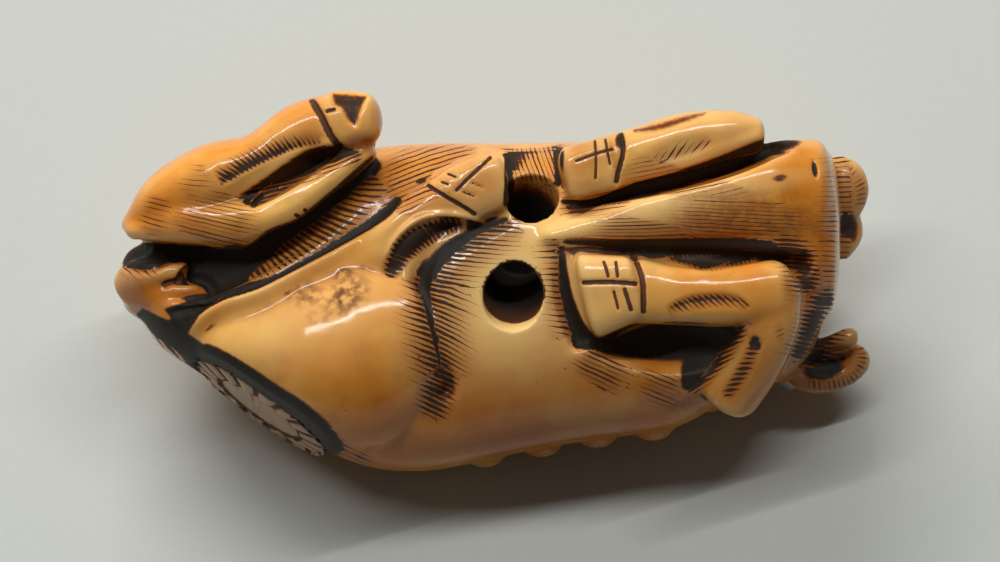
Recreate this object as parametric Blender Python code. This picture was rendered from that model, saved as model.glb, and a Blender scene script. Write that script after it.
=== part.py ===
"""A carved netsuke: a recumbent ox, lying on its back with its folded legs up.

The figure is one solid. It is modelled in the carver's frame: X runs from the rump to the chest, Y
across the underside, and Z out of the underside, towards an eye that looks at the folded legs.
The finished carving is then leaned back to the way it lies on a table.
"""

import math

import bmesh
import bpy
import numpy as np
from mathutils import Matrix, Vector

# Driving dimensions, in metres and degrees
LENGTH = 0.060  # from the rump to the ears
LEAN = 25.0  # how far the underside leans from level as the carving lies
CORD_HOLE_DIAMETER = 0.0047  # the round mouth of the cord passage, in the belly
CORD_MOUTH_WIDTH = 0.0043  # the second mouth, between two hooves
REST_CUT = 0.00065  # how much the high spots of the back are worn flat

# The carving is free form: pose and relief are shares of its own length. A unit is a sixtieth of
# the length, which is a millimetre at the real size, and every table below is in units.
UNIT = LENGTH / 60.0

# The mesh: the grid on which the limbs are fused, and the facets kept
GRID = 0.36 * UNIT
FACETS = 7400
SMOOTHING = 4

# How finely one limb is skinned
AROUND = 32
STEPS = 5
CAP_STEPS = 5

# The medallion on the rump: an oval plaque, edged with petals and let into a flat. Its flat and its
# pocket are oval too, and are placed along the medallion's own X and Y.
MEDALLION_CENTRE = Vector((-18.6, -9.9, 1.6))
MEDALLION_NORMAL = Vector((-0.56, -0.775, 0.29)).normalized()
MEDALLION_AXIS = Vector((0.81, -0.585, 0.0)).normalized()
MEDALLION_RADII = (6.3, 3.8)
MEDALLION_DEPTH = 0.7
RIM_WIDTH = 1.3
BOWL_SLOPE = 0.2
BOWL_DEPTH = 0.35
PETALS = 16
PETAL_SWELL = 0.06
POCKET_MARGIN = 0.25
FLAT_CENTRE = (0.5, 2.8)
FLAT_RADII = (7.1, 7.5)
CUT_REACH = 3.0

# The cord passage: two bores from their own mouths, which meet inside the belly
BELLY_MOUTH = Vector((1.3, -1.3, 8.0))
HOOF_MOUTH = Vector((2.9, 7.2, 6.6))
MEETING = Vector((1.9, 2.6, 0.6))
PAST_MOUTH = 3.0

# The looks of the ivory: amber, and polished by wear
IVORY_COLOUR = (0.72, 0.36, 0.09, 1.0)
IVORY_ROUGHNESS = 0.3
SHARP_EDGE = 50.0  # degrees between two faces that meet in a crisp edge

# The trunk's cross-sections: x, y, z, the half width across the view and the half depth along it
TRUNK = [
    (-28.3, 0.1, -1.5, 2.9, 4.2),
    (-26.4, -0.1, -1.5, 5.2, 6.0),
    (-23.5, -0.2, -1.6, 7.0, 7.4),
    (-20.0, -0.7, -1.7, 9.0, 8.5),
    (-15.0, -1.6, -1.8, 11.0, 9.2),
    (-10.0, -2.0, -1.8, 12.7, 9.4),
    (-5.0, -1.9, -1.6, 13.0, 9.3),
    (1.0, -1.3, -1.4, 12.4, 9.2),
    (7.0, -0.7, -1.4, 11.9, 9.0),
    (13.0, -0.4, -1.2, 11.4, 8.8),
    (15.6, 0.0, -1.1, 10.9, 8.5),
    (19.0, 0.9, -1.0, 9.8, 8.2),
    (22.0, 1.4, -1.0, 9.4, 8.0),
    (24.6, 2.6, -1.0, 8.6, 7.6),
    (26.2, 3.9, -1.0, 6.7, 6.6),
]

# The knobs of the backbone: how many, and how far round from the lower outline they sit along X
KNOBS = 9
KNOB_LINE = [(-18.7, 45.0), (-5.4, 24.0), (-0.9, 10.0), (12.5, 8.0), (16.9, 20.0)]
KNOB_RADII = (1.7, 1.3, 1.9)
KNOB_SUNK = Vector((0.0, 0.45, 0.1))


def spline(stations):
    """Reads a smooth curve through the stations, which holds a section's size as well."""
    rows = np.array(stations, dtype=float)
    rows = np.vstack([2 * rows[0] - rows[1], rows, 2 * rows[-1] - rows[-2]])
    found = []
    for before, here, there, after in zip(rows, rows[1:], rows[2:], rows[3:]):
        for t in np.linspace(0.0, 1.0, STEPS, endpoint=False):
            pull = there - before
            bend = 2 * before - 5 * here + 4 * there - after
            twist = 3 * here - before - 3 * there + after
            found.append(0.5 * (2 * here + pull * t + bend * t**2 + twist * t**3))
    found.append(rows[-2])
    return found


def limb(bm, stations, caps=(1.0, 1.0), squareness=2.3, facing=None):
    """Skins one closed limb.

    A station is x, y, z, the half width across the view and the half depth along it. The two ends
    are rounded off over the lengths in caps. A squareness of 2 makes round sections, and more makes
    them boxy. Sections stand across the limb's own run, or all across the direction in facing.
    """
    rows = spline(stations)
    centres = [Vector(row[:3]) for row in rows]
    tangents = [(b - a).normalized() for a, b in zip([centres[0]] + centres, centres[1:] + [centres[-1]])]
    tangents[0] = (centres[1] - centres[0]).normalized()
    if facing:
        tangents = [facing] * len(centres)
    sections = []
    turns = [0.5 * math.pi * k / CAP_STEPS for k in range(CAP_STEPS)]
    for turn in turns:
        centre = centres[0] - tangents[0] * caps[0] * math.cos(turn)
        sections.append((centre, tangents[0], rows[0][3:] * math.sin(turn)))
    for centre, tangent, row in zip(centres, tangents, rows):
        sections.append((centre, tangent, row[3:]))
    for turn in reversed(turns):
        centre = centres[-1] + tangents[-1] * caps[1] * math.cos(turn)
        sections.append((centre, tangents[-1], rows[-1][3:] * math.sin(turn)))
    skin = bmesh.ops.create_uvsphere(bm, u_segments=AROUND, v_segments=len(sections) - 1, radius=1.0)
    for vert in skin["verts"]:
        slope = math.acos(max(-1.0, min(1.0, vert.co.z)))
        centre, tangent, size = sections[round(slope / math.pi * (len(sections) - 1))]
        angle = math.atan2(vert.co.y, vert.co.x)
        side = Vector((0.0, 0.0, 1.0)).cross(tangent).normalized()
        out = tangent.cross(side)
        across = math.copysign(abs(math.cos(angle)) ** (2 / squareness), math.cos(angle))
        deep = math.copysign(abs(math.sin(angle)) ** (2 / squareness), math.sin(angle))
        vert.co = (centre + side * across * size[0] + out * deep * size[1]) * UNIT


def ball(bm, centre, radii, turn=(0.0, 0.0, 0.0)):
    """Adds an ellipsoid, turned about X, then Y, then Z by degrees."""
    matrix = Matrix.Translation(Vector(centre) * UNIT)
    for axis, angle in zip("ZYX", reversed(turn)):
        matrix = matrix @ Matrix.Rotation(math.radians(angle), 4, axis)
    matrix = matrix @ Matrix.Diagonal((*radii, 1.0))
    bmesh.ops.create_uvsphere(bm, u_segments=AROUND, v_segments=AROUND // 2, radius=UNIT, matrix=matrix)


def trunk(bm):
    """The barrel of the body, from the rump to the blunt end of the chest."""
    limb(bm, TRUNK, caps=(1.7, 1.1), facing=Vector((1.0, 0.0, 0.0)))


def trunk_point(x, turn):
    """A point on the trunk's skin at x, turned by degrees from the lower outline to the back."""
    rows = np.array(TRUNK)
    y, z, width, depth = (np.interp(x, rows[:, 0], rows[:, k]) for k in range(1, 5))
    angle = math.radians(turn)
    return Vector((x, y - width * math.cos(angle), z - depth * math.sin(angle)))


def brisket(bm):
    """The neck's underside, a long ridge that widens to the chest's blunt end."""
    stations = [
        (4.5, 3.7, 6.6, 0.9, 1.4),
        (10.0, 5.0, 6.6, 2.1, 2.4),
        (16.0, 6.3, 5.8, 3.3, 3.2),
        (21.5, 6.8, 3.8, 4.3, 4.4),
        (25.2, 6.1, 1.6, 5.3, 5.2),
    ]
    limb(bm, stations, caps=(1.2, 1.7), facing=Vector((1.0, 0.0, 0.0)))


def near_haunch(bm):
    """The big near haunch, a pear with its point towards the tail."""
    stations = [
        (-24.0, -3.7, 1.7, 0.8, 2.2),
        (-20.5, -4.7, 1.9, 3.8, 5.4),
        (-16.5, -5.1, 1.3, 6.6, 8.0),
        (-12.0, -5.3, 0.8, 8.4, 9.3),
        (-9.2, -4.3, 0.5, 8.0, 9.2),
        (-7.2, -3.1, 0.1, 6.8, 8.7),
    ]
    limb(bm, stations, caps=(0.6, 1.9), squareness=2.15)


def near_shin(bm):
    """The near hind leg below the haunch, to its square hoof."""
    shin = [
        (-11.5, 0.0, 3.2, 1.6, 3.0),
        (-8.8, 2.4, 4.7, 2.2, 3.2),
        (-6.3, 4.9, 5.3, 2.0, 3.1),
        (-4.2, 6.5, 5.3, 1.9, 3.0),
    ]
    hoof = [
        (-3.8, 6.1, 5.2, 2.2, 2.9),
        (-2.6, 6.9, 5.3, 2.4, 3.1),
        (-1.0, 7.6, 5.2, 2.4, 3.1),
        (0.2, 8.0, 5.0, 2.2, 3.0),
    ]
    limb(bm, shin, caps=(1.0, 0.8), squareness=2.6)
    limb(bm, hoof, caps=(0.3, 0.6), squareness=3.6)


def far_haunch(bm):
    """The far haunch: a thigh ridge and a shin ridge with a hollow between them."""
    thigh = [
        (-28.5, 4.7, 1.6, 1.0, 2.2),
        (-25.8, 6.4, 2.6, 2.5, 3.8),
        (-22.0, 8.2, 3.6, 2.9, 4.4),
        (-18.5, 9.7, 4.4, 2.2, 4.0),
        (-15.6, 11.7, 5.0, 2.3, 3.4),
        (-13.4, 12.7, 5.6, 2.1, 3.0),
    ]
    shin = [
        (-28.0, 4.4, 1.8, 0.9, 2.8),
        (-24.5, 5.1, 3.0, 2.0, 4.0),
        (-20.5, 5.0, 3.9, 2.1, 4.2),
        (-16.8, 6.1, 4.6, 1.9, 3.9),
        (-12.8, 8.6, 5.2, 1.4, 3.2),
        (-10.0, 10.3, 5.2, 0.8, 2.6),
    ]
    limb(bm, thigh, caps=(0.9, 1.0))
    limb(bm, shin, caps=(1.0, 0.6))


def far_hoof(bm):
    """The far hind hoof, its cleft sole turned up."""
    stations = [
        (-13.6, 12.4, 5.6, 2.2, 2.9),
        (-12.0, 12.6, 6.0, 2.5, 3.0),
        (-10.2, 12.9, 6.0, 2.1, 2.8),
    ]
    limb(bm, stations, caps=(0.5, 1.3), squareness=2.8)


def tail(bm):
    """The tail over the rump and its tuft, two tongues between the haunches."""
    upper = [
        (-29.0, -0.2, 0.6, 1.6, 1.6),
        (-27.2, 0.5, 2.2, 1.9, 2.0),
        (-25.4, 1.0, 3.0, 1.3, 1.8),
        (-24.4, 1.4, 3.3, 0.5, 1.2),
    ]
    lower = [
        (-28.6, -0.6, 0.8, 1.4, 1.6),
        (-26.4, -0.8, 2.4, 1.5, 1.8),
        (-24.4, -0.7, 3.2, 1.0, 1.6),
        (-23.4, -0.6, 3.5, 0.4, 1.1),
    ]
    limb(bm, upper, caps=(0.8, 0.4), squareness=2.0)
    limb(bm, lower, caps=(0.8, 0.4), squareness=2.0)


def upper_foreleg(bm):
    """The foreleg at the far edge of the belly, from its knee to its square hoof."""
    leg = [
        (8.5, 9.4, 5.0, 2.1, 2.9),
        (11.5, 10.1, 5.2, 2.2, 2.9),
        (14.6, 10.9, 5.0, 2.4, 3.0),
        (18.0, 11.6, 4.6, 2.0, 3.0),
        (20.2, 11.6, 4.2, 1.5, 2.6),
    ]
    hoof = [
        (5.9, 8.6, 5.2, 2.1, 3.2),
        (9.0, 9.4, 5.3, 2.2, 3.3),
    ]
    limb(bm, leg, caps=(0.6, 0.8), squareness=2.6)
    limb(bm, hoof, caps=(0.9, 0.7), squareness=3.6)


def lower_foreleg(bm):
    """The other foreleg, bent like an L at its knee."""
    cannon = [
        (11.0, -0.6, 7.0, 2.6, 2.7),
        (14.0, -1.0, 7.2, 2.3, 2.7),
        (17.5, -1.1, 7.2, 2.3, 2.8),
        (21.6, -0.8, 6.8, 2.6, 3.0),
    ]
    forearm = [
        (22.1, -0.6, 6.0, 2.0, 3.4),
        (21.5, -3.2, 5.6, 2.3, 3.8),
        (20.3, -5.9, 4.4, 2.4, 3.8),
        (18.7, -8.2, 3.0, 2.5, 3.6),
    ]
    hoof = [
        (7.3, -1.0, 6.9, 3.4, 2.9),
        (10.7, -0.4, 7.2, 2.6, 3.1),
    ]
    limb(bm, cannon, caps=(0.6, 2.0), squareness=2.8)
    limb(bm, forearm, caps=(1.8, 1.6), squareness=2.6)
    limb(bm, hoof, caps=(0.8, 0.7), squareness=4.0, facing=Vector((0.97, 0.24, 0.0)))


def head(bm):
    """The head on the hidden side, turned back along the flank, with brow, eyes and muzzle."""
    skull = [
        (24.0, 0.6, -7.0, 4.4, 3.6),
        (21.0, 0.3, -8.6, 5.2, 4.4),
        (16.5, -0.2, -9.5, 4.3, 4.0),
        (11.5, -0.8, -10.0, 3.4, 3.4),
        (7.5, -1.2, -10.0, 3.6, 3.3),
    ]
    limb(bm, skull, caps=(1.6, 1.8))
    ball(bm, (22.0, 2.4, -4.0), (4.6, 6.8, 5.2))
    for side in (-1, 1):
        ball(bm, (18.2, 0.0 + side * 3.7, -11.2), (1.5, 1.0, 1.3))
        ball(bm, (6.8, -1.2 + side * 2.0, -11.8), (1.3, 1.1, 1.2))


def horns(bm):
    """The two horns, short and blunt, swept back beside the ears."""
    lower = [
        (20.5, -7.2, -5.2, 1.0, 1.2),
        (23.5, -6.7, -4.6, 1.1, 1.2),
        (26.3, -5.4, -3.9, 1.05, 1.1),
        (28.2, -4.3, -3.5, 0.85, 0.9),
    ]
    upper = [
        (25.5, 7.0, -6.4, 1.0, 1.1),
        (27.6, 5.6, -5.8, 1.2, 1.2),
        (28.3, 4.0, -5.4, 1.1, 1.1),
        (27.7, 2.5, -5.2, 0.8, 0.9),
    ]
    limb(bm, lower, caps=(0.8, 0.8), squareness=2.0)
    limb(bm, upper, caps=(0.8, 0.7), squareness=2.0)


def ears(bm):
    """The leaf-shaped ears, which show beyond the chest."""
    ball(bm, (26.6, -6.7, -5.6), (3.5, 2.1, 1.7), turn=(0.0, 0.0, 14.0))
    ball(bm, (22.8, -6.4, -6.6), (2.6, 1.4, 1.6), turn=(0.0, 0.0, 10.0))
    ball(bm, (27.3, 7.3, -4.6), (2.5, 2.9, 1.6), turn=(0.0, 0.0, -12.0))


def spine(bm):
    """The knobs of the backbone, which end in the lower outline."""
    places, turns = zip(*KNOB_LINE)
    for x in np.linspace(places[0], places[-1], KNOBS):
        ball(bm, trunk_point(x, np.interp(x, places, turns)) + KNOB_SUNK, KNOB_RADII)


def haunch_hollow(bm):
    """The lens-shaped hollow between the thigh and the shin of the far leg."""
    ball(bm, (-15.6, 8.35, 9.0), (4.6, 0.75, 3.2), turn=(0.0, 0.0, 33.0))


def hollows(bm):
    """The cuts between limbs, as lofts and balls that are taken away from the trunk."""
    tail_gap = [
        (-30.0, 1.6, 4.2, 2.4, 1.8),
        (-25.0, 1.0, 5.0, 2.6, 2.8),
        (-20.5, 1.3, 7.2, 1.6, 3.2),
        (-15.0, 4.0, 8.2, 1.3, 3.2),
        (-10.0, 7.6, 8.4, 1.3, 2.8),
    ]
    crease = [
        (-1.0, 4.6, 8.8, 0.9, 1.6),
        (-4.4, 3.6, 9.2, 1.4, 2.4),
        (-6.0, 0.6, 9.4, 1.2, 2.6),
        (-5.2, -3.4, 8.6, 1.0, 2.0),
        (-4.0, -8.6, 6.2, 0.8, 0.9),
    ]
    below_upper_foreleg = [
        (5.6, 6.3, 8.6, 0.5, 2.6),
        (12.0, 7.4, 8.4, 0.7, 3.0),
        (18.0, 9.0, 7.6, 0.8, 3.0),
        (22.6, 11.0, 5.4, 0.9, 2.6),
    ]
    above_lower_foreleg = [
        (6.5, 2.4, 9.4, 0.6, 2.4),
        (12.0, 2.3, 9.4, 0.8, 3.0),
        (18.0, 2.0, 9.0, 0.9, 3.2),
        (24.6, 1.4, 7.4, 0.9, 3.0),
    ]
    beside_hoof = [
        (4.9, 1.6, 8.6, 0.7, 1.5),
        (5.3, -1.5, 8.6, 0.9, 2.0),
        (6.6, -5.0, 8.2, 0.9, 2.2),
    ]
    limb(bm, tail_gap, caps=(1.0, 1.0), squareness=2.0)
    limb(bm, crease, caps=(0.6, 0.6), squareness=2.0)
    limb(bm, below_upper_foreleg, caps=(0.5, 0.5), squareness=2.0)
    limb(bm, above_lower_foreleg, caps=(0.5, 0.5), squareness=2.0)
    ball(bm, (13.4, -5.0, 8.0), (6.8, 2.5, 3.6), turn=(0.0, 0.0, -8.0))
    limb(bm, beside_hoof, caps=(0.5, 0.5), squareness=2.0)


def ear_hollow(bm):
    """The cup of the lower ear."""
    ball(bm, (26.6, -6.3, -3.2), (2.6, 1.3, 1.6), turn=(0.0, 0.0, 14.0))


def mesh_object(name, *shapes):
    """Makes an object of closed shapes, each a function that adds to a bmesh."""
    bm = bmesh.new()
    for shape in shapes:
        shape(bm)
    bmesh.ops.recalc_face_normals(bm, faces=bm.faces)
    mesh = bpy.data.meshes.new(name)
    bm.to_mesh(mesh)
    bm.free()
    made = bpy.data.objects.new(name, mesh)
    bpy.context.collection.objects.link(made)
    return made


def cutter(name, *shapes):
    """Makes an object that only takes material away."""
    made = mesh_object(name, *shapes)
    made.hide_render = True
    made.display_type = "WIRE"
    return made


def fuse(target):
    """Fuses the shapes of an object into one skin on the grid."""
    remesh = target.modifiers.new("fuse", "REMESH")
    remesh.mode = "VOXEL"
    remesh.voxel_size = GRID


def combine(target, other, operation):
    """Joins another object to the target, or cuts it away."""
    boolean = target.modifiers.new(other.name, "BOOLEAN")
    boolean.operation = operation
    boolean.solver = "EXACT"
    boolean.object = other


def apply_modifiers(target):
    """Replaces an object's mesh by what its modifiers make of it."""
    graph = bpy.context.evaluated_depsgraph_get()
    mesh = bpy.data.meshes.new_from_object(target.evaluated_get(graph))
    target.modifiers.clear()
    target.data = mesh


def bore(bm, mouth, diameter):
    """One bore of the cord passage, from its mouth down to where the two meet."""
    run = (mouth - MEETING) * UNIT
    axis = run.normalized()
    depth = run.length + PAST_MOUTH * UNIT
    matrix = Matrix.Translation(MEETING * UNIT + axis * depth / 2)
    matrix = matrix @ axis.to_track_quat("Z", "Y").to_matrix().to_4x4()
    bmesh.ops.create_cone(
        bm,
        cap_ends=True,
        segments=AROUND,
        radius1=diameter / 2,
        radius2=diameter / 2,
        depth=depth,
        matrix=matrix,
    )


def belly_bore(bm):
    """The round mouth in the middle of the belly."""
    bore(bm, BELLY_MOUTH, CORD_HOLE_DIAMETER)


def hoof_bore(bm):
    """The second mouth, between the near hind hoof and the upper fore hoof."""
    bore(bm, HOOF_MOUTH, CORD_MOUTH_WIDTH)


def medallion_matrix():
    """The place of the medallion: its own X along the oval, its own Z out of the rump."""
    across = MEDALLION_NORMAL.cross(MEDALLION_AXIS)
    turn = Matrix((MEDALLION_AXIS, across, MEDALLION_NORMAL)).transposed().to_4x4()
    return Matrix.Translation(MEDALLION_CENTRE * UNIT) @ turn


def oval_block(bm, centre, radii, low):
    """An oval block on the medallion's own axes, from a low level up to where the cuts reach."""
    middle = Vector((*centre, (low + CUT_REACH) / 2)) * UNIT
    matrix = medallion_matrix() @ Matrix.Translation(middle)
    matrix = matrix @ Matrix.Diagonal((*radii, CUT_REACH - low, 1.0))
    bmesh.ops.create_cone(
        bm, cap_ends=True, segments=2 * AROUND, radius1=UNIT, radius2=UNIT, depth=UNIT, matrix=matrix
    )


def medallion_flat(bm):
    """The block that cuts the flat, which runs out through the haunch above the medallion."""
    oval_block(bm, FLAT_CENTRE, FLAT_RADII, 0.0)


def medallion_plaque(bm):
    """The plaque itself, its rim scalloped by the petals and its middle let in."""
    per_petal = 4
    sunk = 0.5 * UNIT
    made = bmesh.ops.create_circle(bm, cap_ends=True, segments=PETALS * per_petal, radius=1.0)
    base = made["verts"][0].link_faces[0]
    for vert in made["verts"]:
        angle = math.atan2(vert.co.y, vert.co.x)
        swell = UNIT * (1.0 - PETAL_SWELL + PETAL_SWELL * abs(math.sin(PETALS * angle / 2)))
        vert.co.x *= MEDALLION_RADII[0] * swell
        vert.co.y *= MEDALLION_RADII[1] * swell
        vert.co.z = -MEDALLION_DEPTH * UNIT - sunk
    grown = bmesh.ops.extrude_face_region(bm, geom=[base], use_keep_orig=True)
    top = next(item for item in grown["geom"] if isinstance(item, bmesh.types.BMFace))
    bmesh.ops.translate(bm, verts=top.verts, vec=(0.0, 0.0, MEDALLION_DEPTH * UNIT + sunk))
    bmesh.ops.inset_region(bm, faces=[top], thickness=RIM_WIDTH * UNIT, depth=0.0)
    bmesh.ops.inset_region(bm, faces=[top], thickness=BOWL_SLOPE * UNIT, depth=-BOWL_DEPTH * UNIT)
    bmesh.ops.transform(bm, verts=bm.verts, matrix=medallion_matrix())


def medallion_pocket(bm):
    """The oval pocket that the plaque sits in."""
    radii = [r + POCKET_MARGIN for r in MEDALLION_RADII]
    oval_block(bm, (0.0, 0.0), radii, -MEDALLION_DEPTH)


def merged(name, parts):
    """Puts the meshes of several objects into one object and removes theirs."""
    bm = bmesh.new()
    for each in parts:
        bm.from_mesh(each.data)
        bpy.data.objects.remove(each)
    mesh = bpy.data.meshes.new(name)
    bm.to_mesh(mesh)
    bm.free()
    made = bpy.data.objects.new(name, mesh)
    bpy.context.collection.objects.link(made)
    return made


def carve():
    """Fuses the limbs, cuts the hollows between them and thins the facets."""
    cuts = cutter("hollows", hollows, ear_hollow)
    fuse(cuts)
    body = mesh_object("body", trunk, brisket, head, ears, horns, spine)
    fuse(body)
    combine(body, cuts, "DIFFERENCE")
    apply_modifiers(body)
    bpy.data.objects.remove(cuts)
    legs = mesh_object(
        "legs", near_haunch, near_shin, far_haunch, far_hoof, tail, upper_foreleg, lower_foreleg
    )
    ox = merged("netsuke", [body, legs])
    fuse(ox)
    soften = ox.modifiers.new("soften", "SMOOTH")
    soften.factor = 0.5
    soften.iterations = SMOOTHING
    apply_modifiers(ox)
    thin = ox.modifiers.new("thin", "DECIMATE")
    ox.data.calc_loop_triangles()
    thin.ratio = FACETS / len(ox.data.loop_triangles)
    apply_modifiers(ox)
    return ox


def finish_cuts(ox):
    """Lets the medallion into the rump and bores the cord passage."""
    steps = [
        (haunch_hollow, "DIFFERENCE"),
        (medallion_flat, "DIFFERENCE"),
        (medallion_pocket, "DIFFERENCE"),
        (medallion_plaque, "UNION"),
        (belly_bore, "DIFFERENCE"),
        (hoof_bore, "DIFFERENCE"),
    ]
    for shape, operation in steps:
        tool = cutter(shape.__name__, shape)
        combine(ox, tool, operation)
        apply_modifiers(ox)
        bpy.data.objects.remove(tool)


def corners(ox):
    """The low and high corners of an object's mesh."""
    places = np.array([vert.co for vert in ox.data.vertices])
    return Vector(places.min(axis=0)), Vector(places.max(axis=0))


def lay_down(ox):
    """Leans the carving the way it lies, wears its high spots flat and sets it on the origin."""
    ox.data.transform(Matrix.Rotation(math.radians(LEAN), 4, "X"))
    low, high = corners(ox)
    slab = (high - low) * 1.2
    middle = (low + high) / 2
    place = Vector((middle.x, middle.y, low.z + REST_CUT - slab.z / 2))

    def ground(bm):
        matrix = Matrix.Translation(place) @ Matrix.Diagonal((*slab, 1.0))
        bmesh.ops.create_cube(bm, size=1.0, matrix=matrix)

    tool = cutter("ground", ground)
    combine(ox, tool, "DIFFERENCE")
    apply_modifiers(ox)
    bpy.data.objects.remove(tool)
    low, high = corners(ox)
    ox.data.transform(Matrix.Translation(-Vector(((low.x + high.x) / 2, (low.y + high.y) / 2, low.z))))


def ivory():
    """The stained and polished ivory of the carving."""
    material = bpy.data.materials.new("stained ivory")
    material.use_nodes = True
    shader = material.node_tree.nodes["Principled BSDF"]
    shader.inputs["Base Color"].default_value = IVORY_COLOUR
    shader.inputs["Roughness"].default_value = IVORY_ROUGHNESS
    shader.inputs["Metallic"].default_value = 0.0
    return material


def main():
    """Builds the netsuke."""
    for old in list(bpy.data.objects):
        bpy.data.objects.remove(old, do_unlink=True)
    ox = carve()
    finish_cuts(ox)
    lay_down(ox)
    ox.data.materials.clear()
    ox.data.materials.append(ivory())
    ox.data.shade_smooth()
    ox.data.set_sharp_from_angle(angle=math.radians(SHARP_EDGE))


main()
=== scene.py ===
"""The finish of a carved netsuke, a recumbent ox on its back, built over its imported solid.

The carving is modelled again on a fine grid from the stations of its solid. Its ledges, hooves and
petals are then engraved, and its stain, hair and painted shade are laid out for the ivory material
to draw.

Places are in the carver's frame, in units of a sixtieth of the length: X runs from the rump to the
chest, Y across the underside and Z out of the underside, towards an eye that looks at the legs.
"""

import logging
import math
from dataclasses import dataclass, field
from enum import Enum

import bmesh
import bpy
import numpy as np
from mathutils import Matrix, Vector


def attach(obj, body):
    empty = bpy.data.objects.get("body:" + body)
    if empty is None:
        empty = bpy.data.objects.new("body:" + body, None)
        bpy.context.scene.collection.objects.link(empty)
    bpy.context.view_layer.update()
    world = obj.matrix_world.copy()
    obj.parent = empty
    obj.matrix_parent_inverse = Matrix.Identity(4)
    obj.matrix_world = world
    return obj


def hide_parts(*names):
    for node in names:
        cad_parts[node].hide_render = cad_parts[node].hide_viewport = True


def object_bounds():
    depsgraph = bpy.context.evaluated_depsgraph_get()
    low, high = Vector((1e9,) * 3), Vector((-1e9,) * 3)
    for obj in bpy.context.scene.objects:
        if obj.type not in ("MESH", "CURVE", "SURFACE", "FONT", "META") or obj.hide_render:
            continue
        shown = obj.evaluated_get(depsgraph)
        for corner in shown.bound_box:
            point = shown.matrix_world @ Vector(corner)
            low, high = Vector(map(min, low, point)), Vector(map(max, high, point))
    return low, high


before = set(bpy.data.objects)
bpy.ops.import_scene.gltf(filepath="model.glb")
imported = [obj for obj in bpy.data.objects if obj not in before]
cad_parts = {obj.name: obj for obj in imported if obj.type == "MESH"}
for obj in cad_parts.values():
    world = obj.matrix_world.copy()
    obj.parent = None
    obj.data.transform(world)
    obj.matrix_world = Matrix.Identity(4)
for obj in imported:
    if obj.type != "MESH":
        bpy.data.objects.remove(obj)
CAD_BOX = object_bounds()

LOG = logging.getLogger("netsuke")

LENGTH = 0.060
UNIT = LENGTH / 60.0
LEAN = 25.0
REST_CUT = 0.65
CORD_HOLE_DIAMETER = 4.7
CORD_MOUTH_WIDTH = 4.3
NO_LINE_NEAR = 99.0

ALONG_X = Vector((1.0, 0.0, 0.0))


class Side(Enum):
    """Which side of the carving a mark is cut in.

    Each is its way along Z, and how far the skin has to face it for a mark to begin and to be full.
    """

    UNDERSIDE = (1.0, -0.02, 0.42)
    BACK = (-1.0, 0.0, 0.3)


class Operation(Enum):
    """How a tool shape meets the carving."""

    JOIN = "UNION"
    CUT = "DIFFERENCE"


def smoothstep(low: float, high: float, values: np.ndarray) -> np.ndarray:
    """Rises smoothly from 0 at low to 1 at high."""
    share = np.clip((values - low) / (high - low), 0.0, 1.0)
    return share * share * (3.0 - 2.0 * share)


def spline(stations: np.ndarray, steps: int) -> np.ndarray:
    """Reads a smooth curve through rows of numbers.

    Args:
        stations: One row for each station.
        steps: How many rows the curve has for each station.

    Returns:
        The rows of the curve, from the first station to the last.
    """
    rows = np.vstack([2 * stations[0] - stations[1], stations, 2 * stations[-1] - stations[-2]])
    found = []
    for before, here, there, after in zip(rows, rows[1:], rows[2:], rows[3:]):
        for t in np.linspace(0.0, 1.0, steps, endpoint=False):
            bend = 2 * before - 5 * here + 4 * there - after
            twist = 3 * here - before - 3 * there + after
            found.append(0.5 * (2 * here + (there - before) * t + bend * t**2 + twist * t**3))
    found.append(rows[-2])
    return np.array(found)


@dataclass(frozen=True)
class Limb:
    """A closed skin over cross-sections that follow a smooth run.

    A station is x, y, z, the half width across the view and the half depth along it. A squareness of
    2 makes round sections and more makes boxy ones. Sections stand across the run, or all across X.
    """

    stations: tuple[tuple[float, ...], ...]
    caps: tuple[float, float] = (1.0, 1.0)
    squareness: float = 2.3
    facing: tuple[float, float, float] | None = None
    around: int = 48
    steps: int = 8
    cap_steps: int = 8

    def sections(self) -> list[tuple[Vector, Vector, np.ndarray]]:
        """Works out each section's centre, the way it faces and its half sizes."""
        rows = spline(np.array(self.stations), self.steps)
        centres = [Vector(row[:3]) for row in rows]
        afters = centres[1:] + [centres[-1]]
        befores = [centres[0]] + centres[:-1]
        ways = [(after - before).normalized() for before, after in zip(befores, afters)]
        if self.facing:
            ways = [Vector(self.facing)] * len(centres)
        turns = [0.5 * math.pi * k / self.cap_steps for k in range(self.cap_steps)]
        found = []
        for turn in turns:
            centre = centres[0] - ways[0] * self.caps[0] * math.cos(turn)
            found.append((centre, ways[0], rows[0][3:] * math.sin(turn)))
        found += [(centre, way, row[3:]) for centre, way, row in zip(centres, ways, rows)]
        for turn in reversed(turns):
            centre = centres[-1] + ways[-1] * self.caps[1] * math.cos(turn)
            found.append((centre, ways[-1], rows[-1][3:] * math.sin(turn)))
        return found

    def build(self, bm: bmesh.types.BMesh) -> None:
        """Adds the limb's skin to a bmesh."""
        sections = self.sections()
        rings = len(sections) - 1
        skin = bmesh.ops.create_uvsphere(bm, u_segments=self.around, v_segments=rings, radius=1.0)
        for vert in skin["verts"]:
            slope = math.acos(max(-1.0, min(1.0, vert.co.z)))
            centre, way, size = sections[round(slope / math.pi * rings)]
            angle = math.atan2(vert.co.y, vert.co.x)
            side = Vector((0.0, 0.0, 1.0)).cross(way).normalized()
            out = way.cross(side)
            across = math.copysign(abs(math.cos(angle)) ** (2 / self.squareness), math.cos(angle))
            deep = math.copysign(abs(math.sin(angle)) ** (2 / self.squareness), math.sin(angle))
            vert.co = centre + side * across * size[0] + out * deep * size[1]


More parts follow.
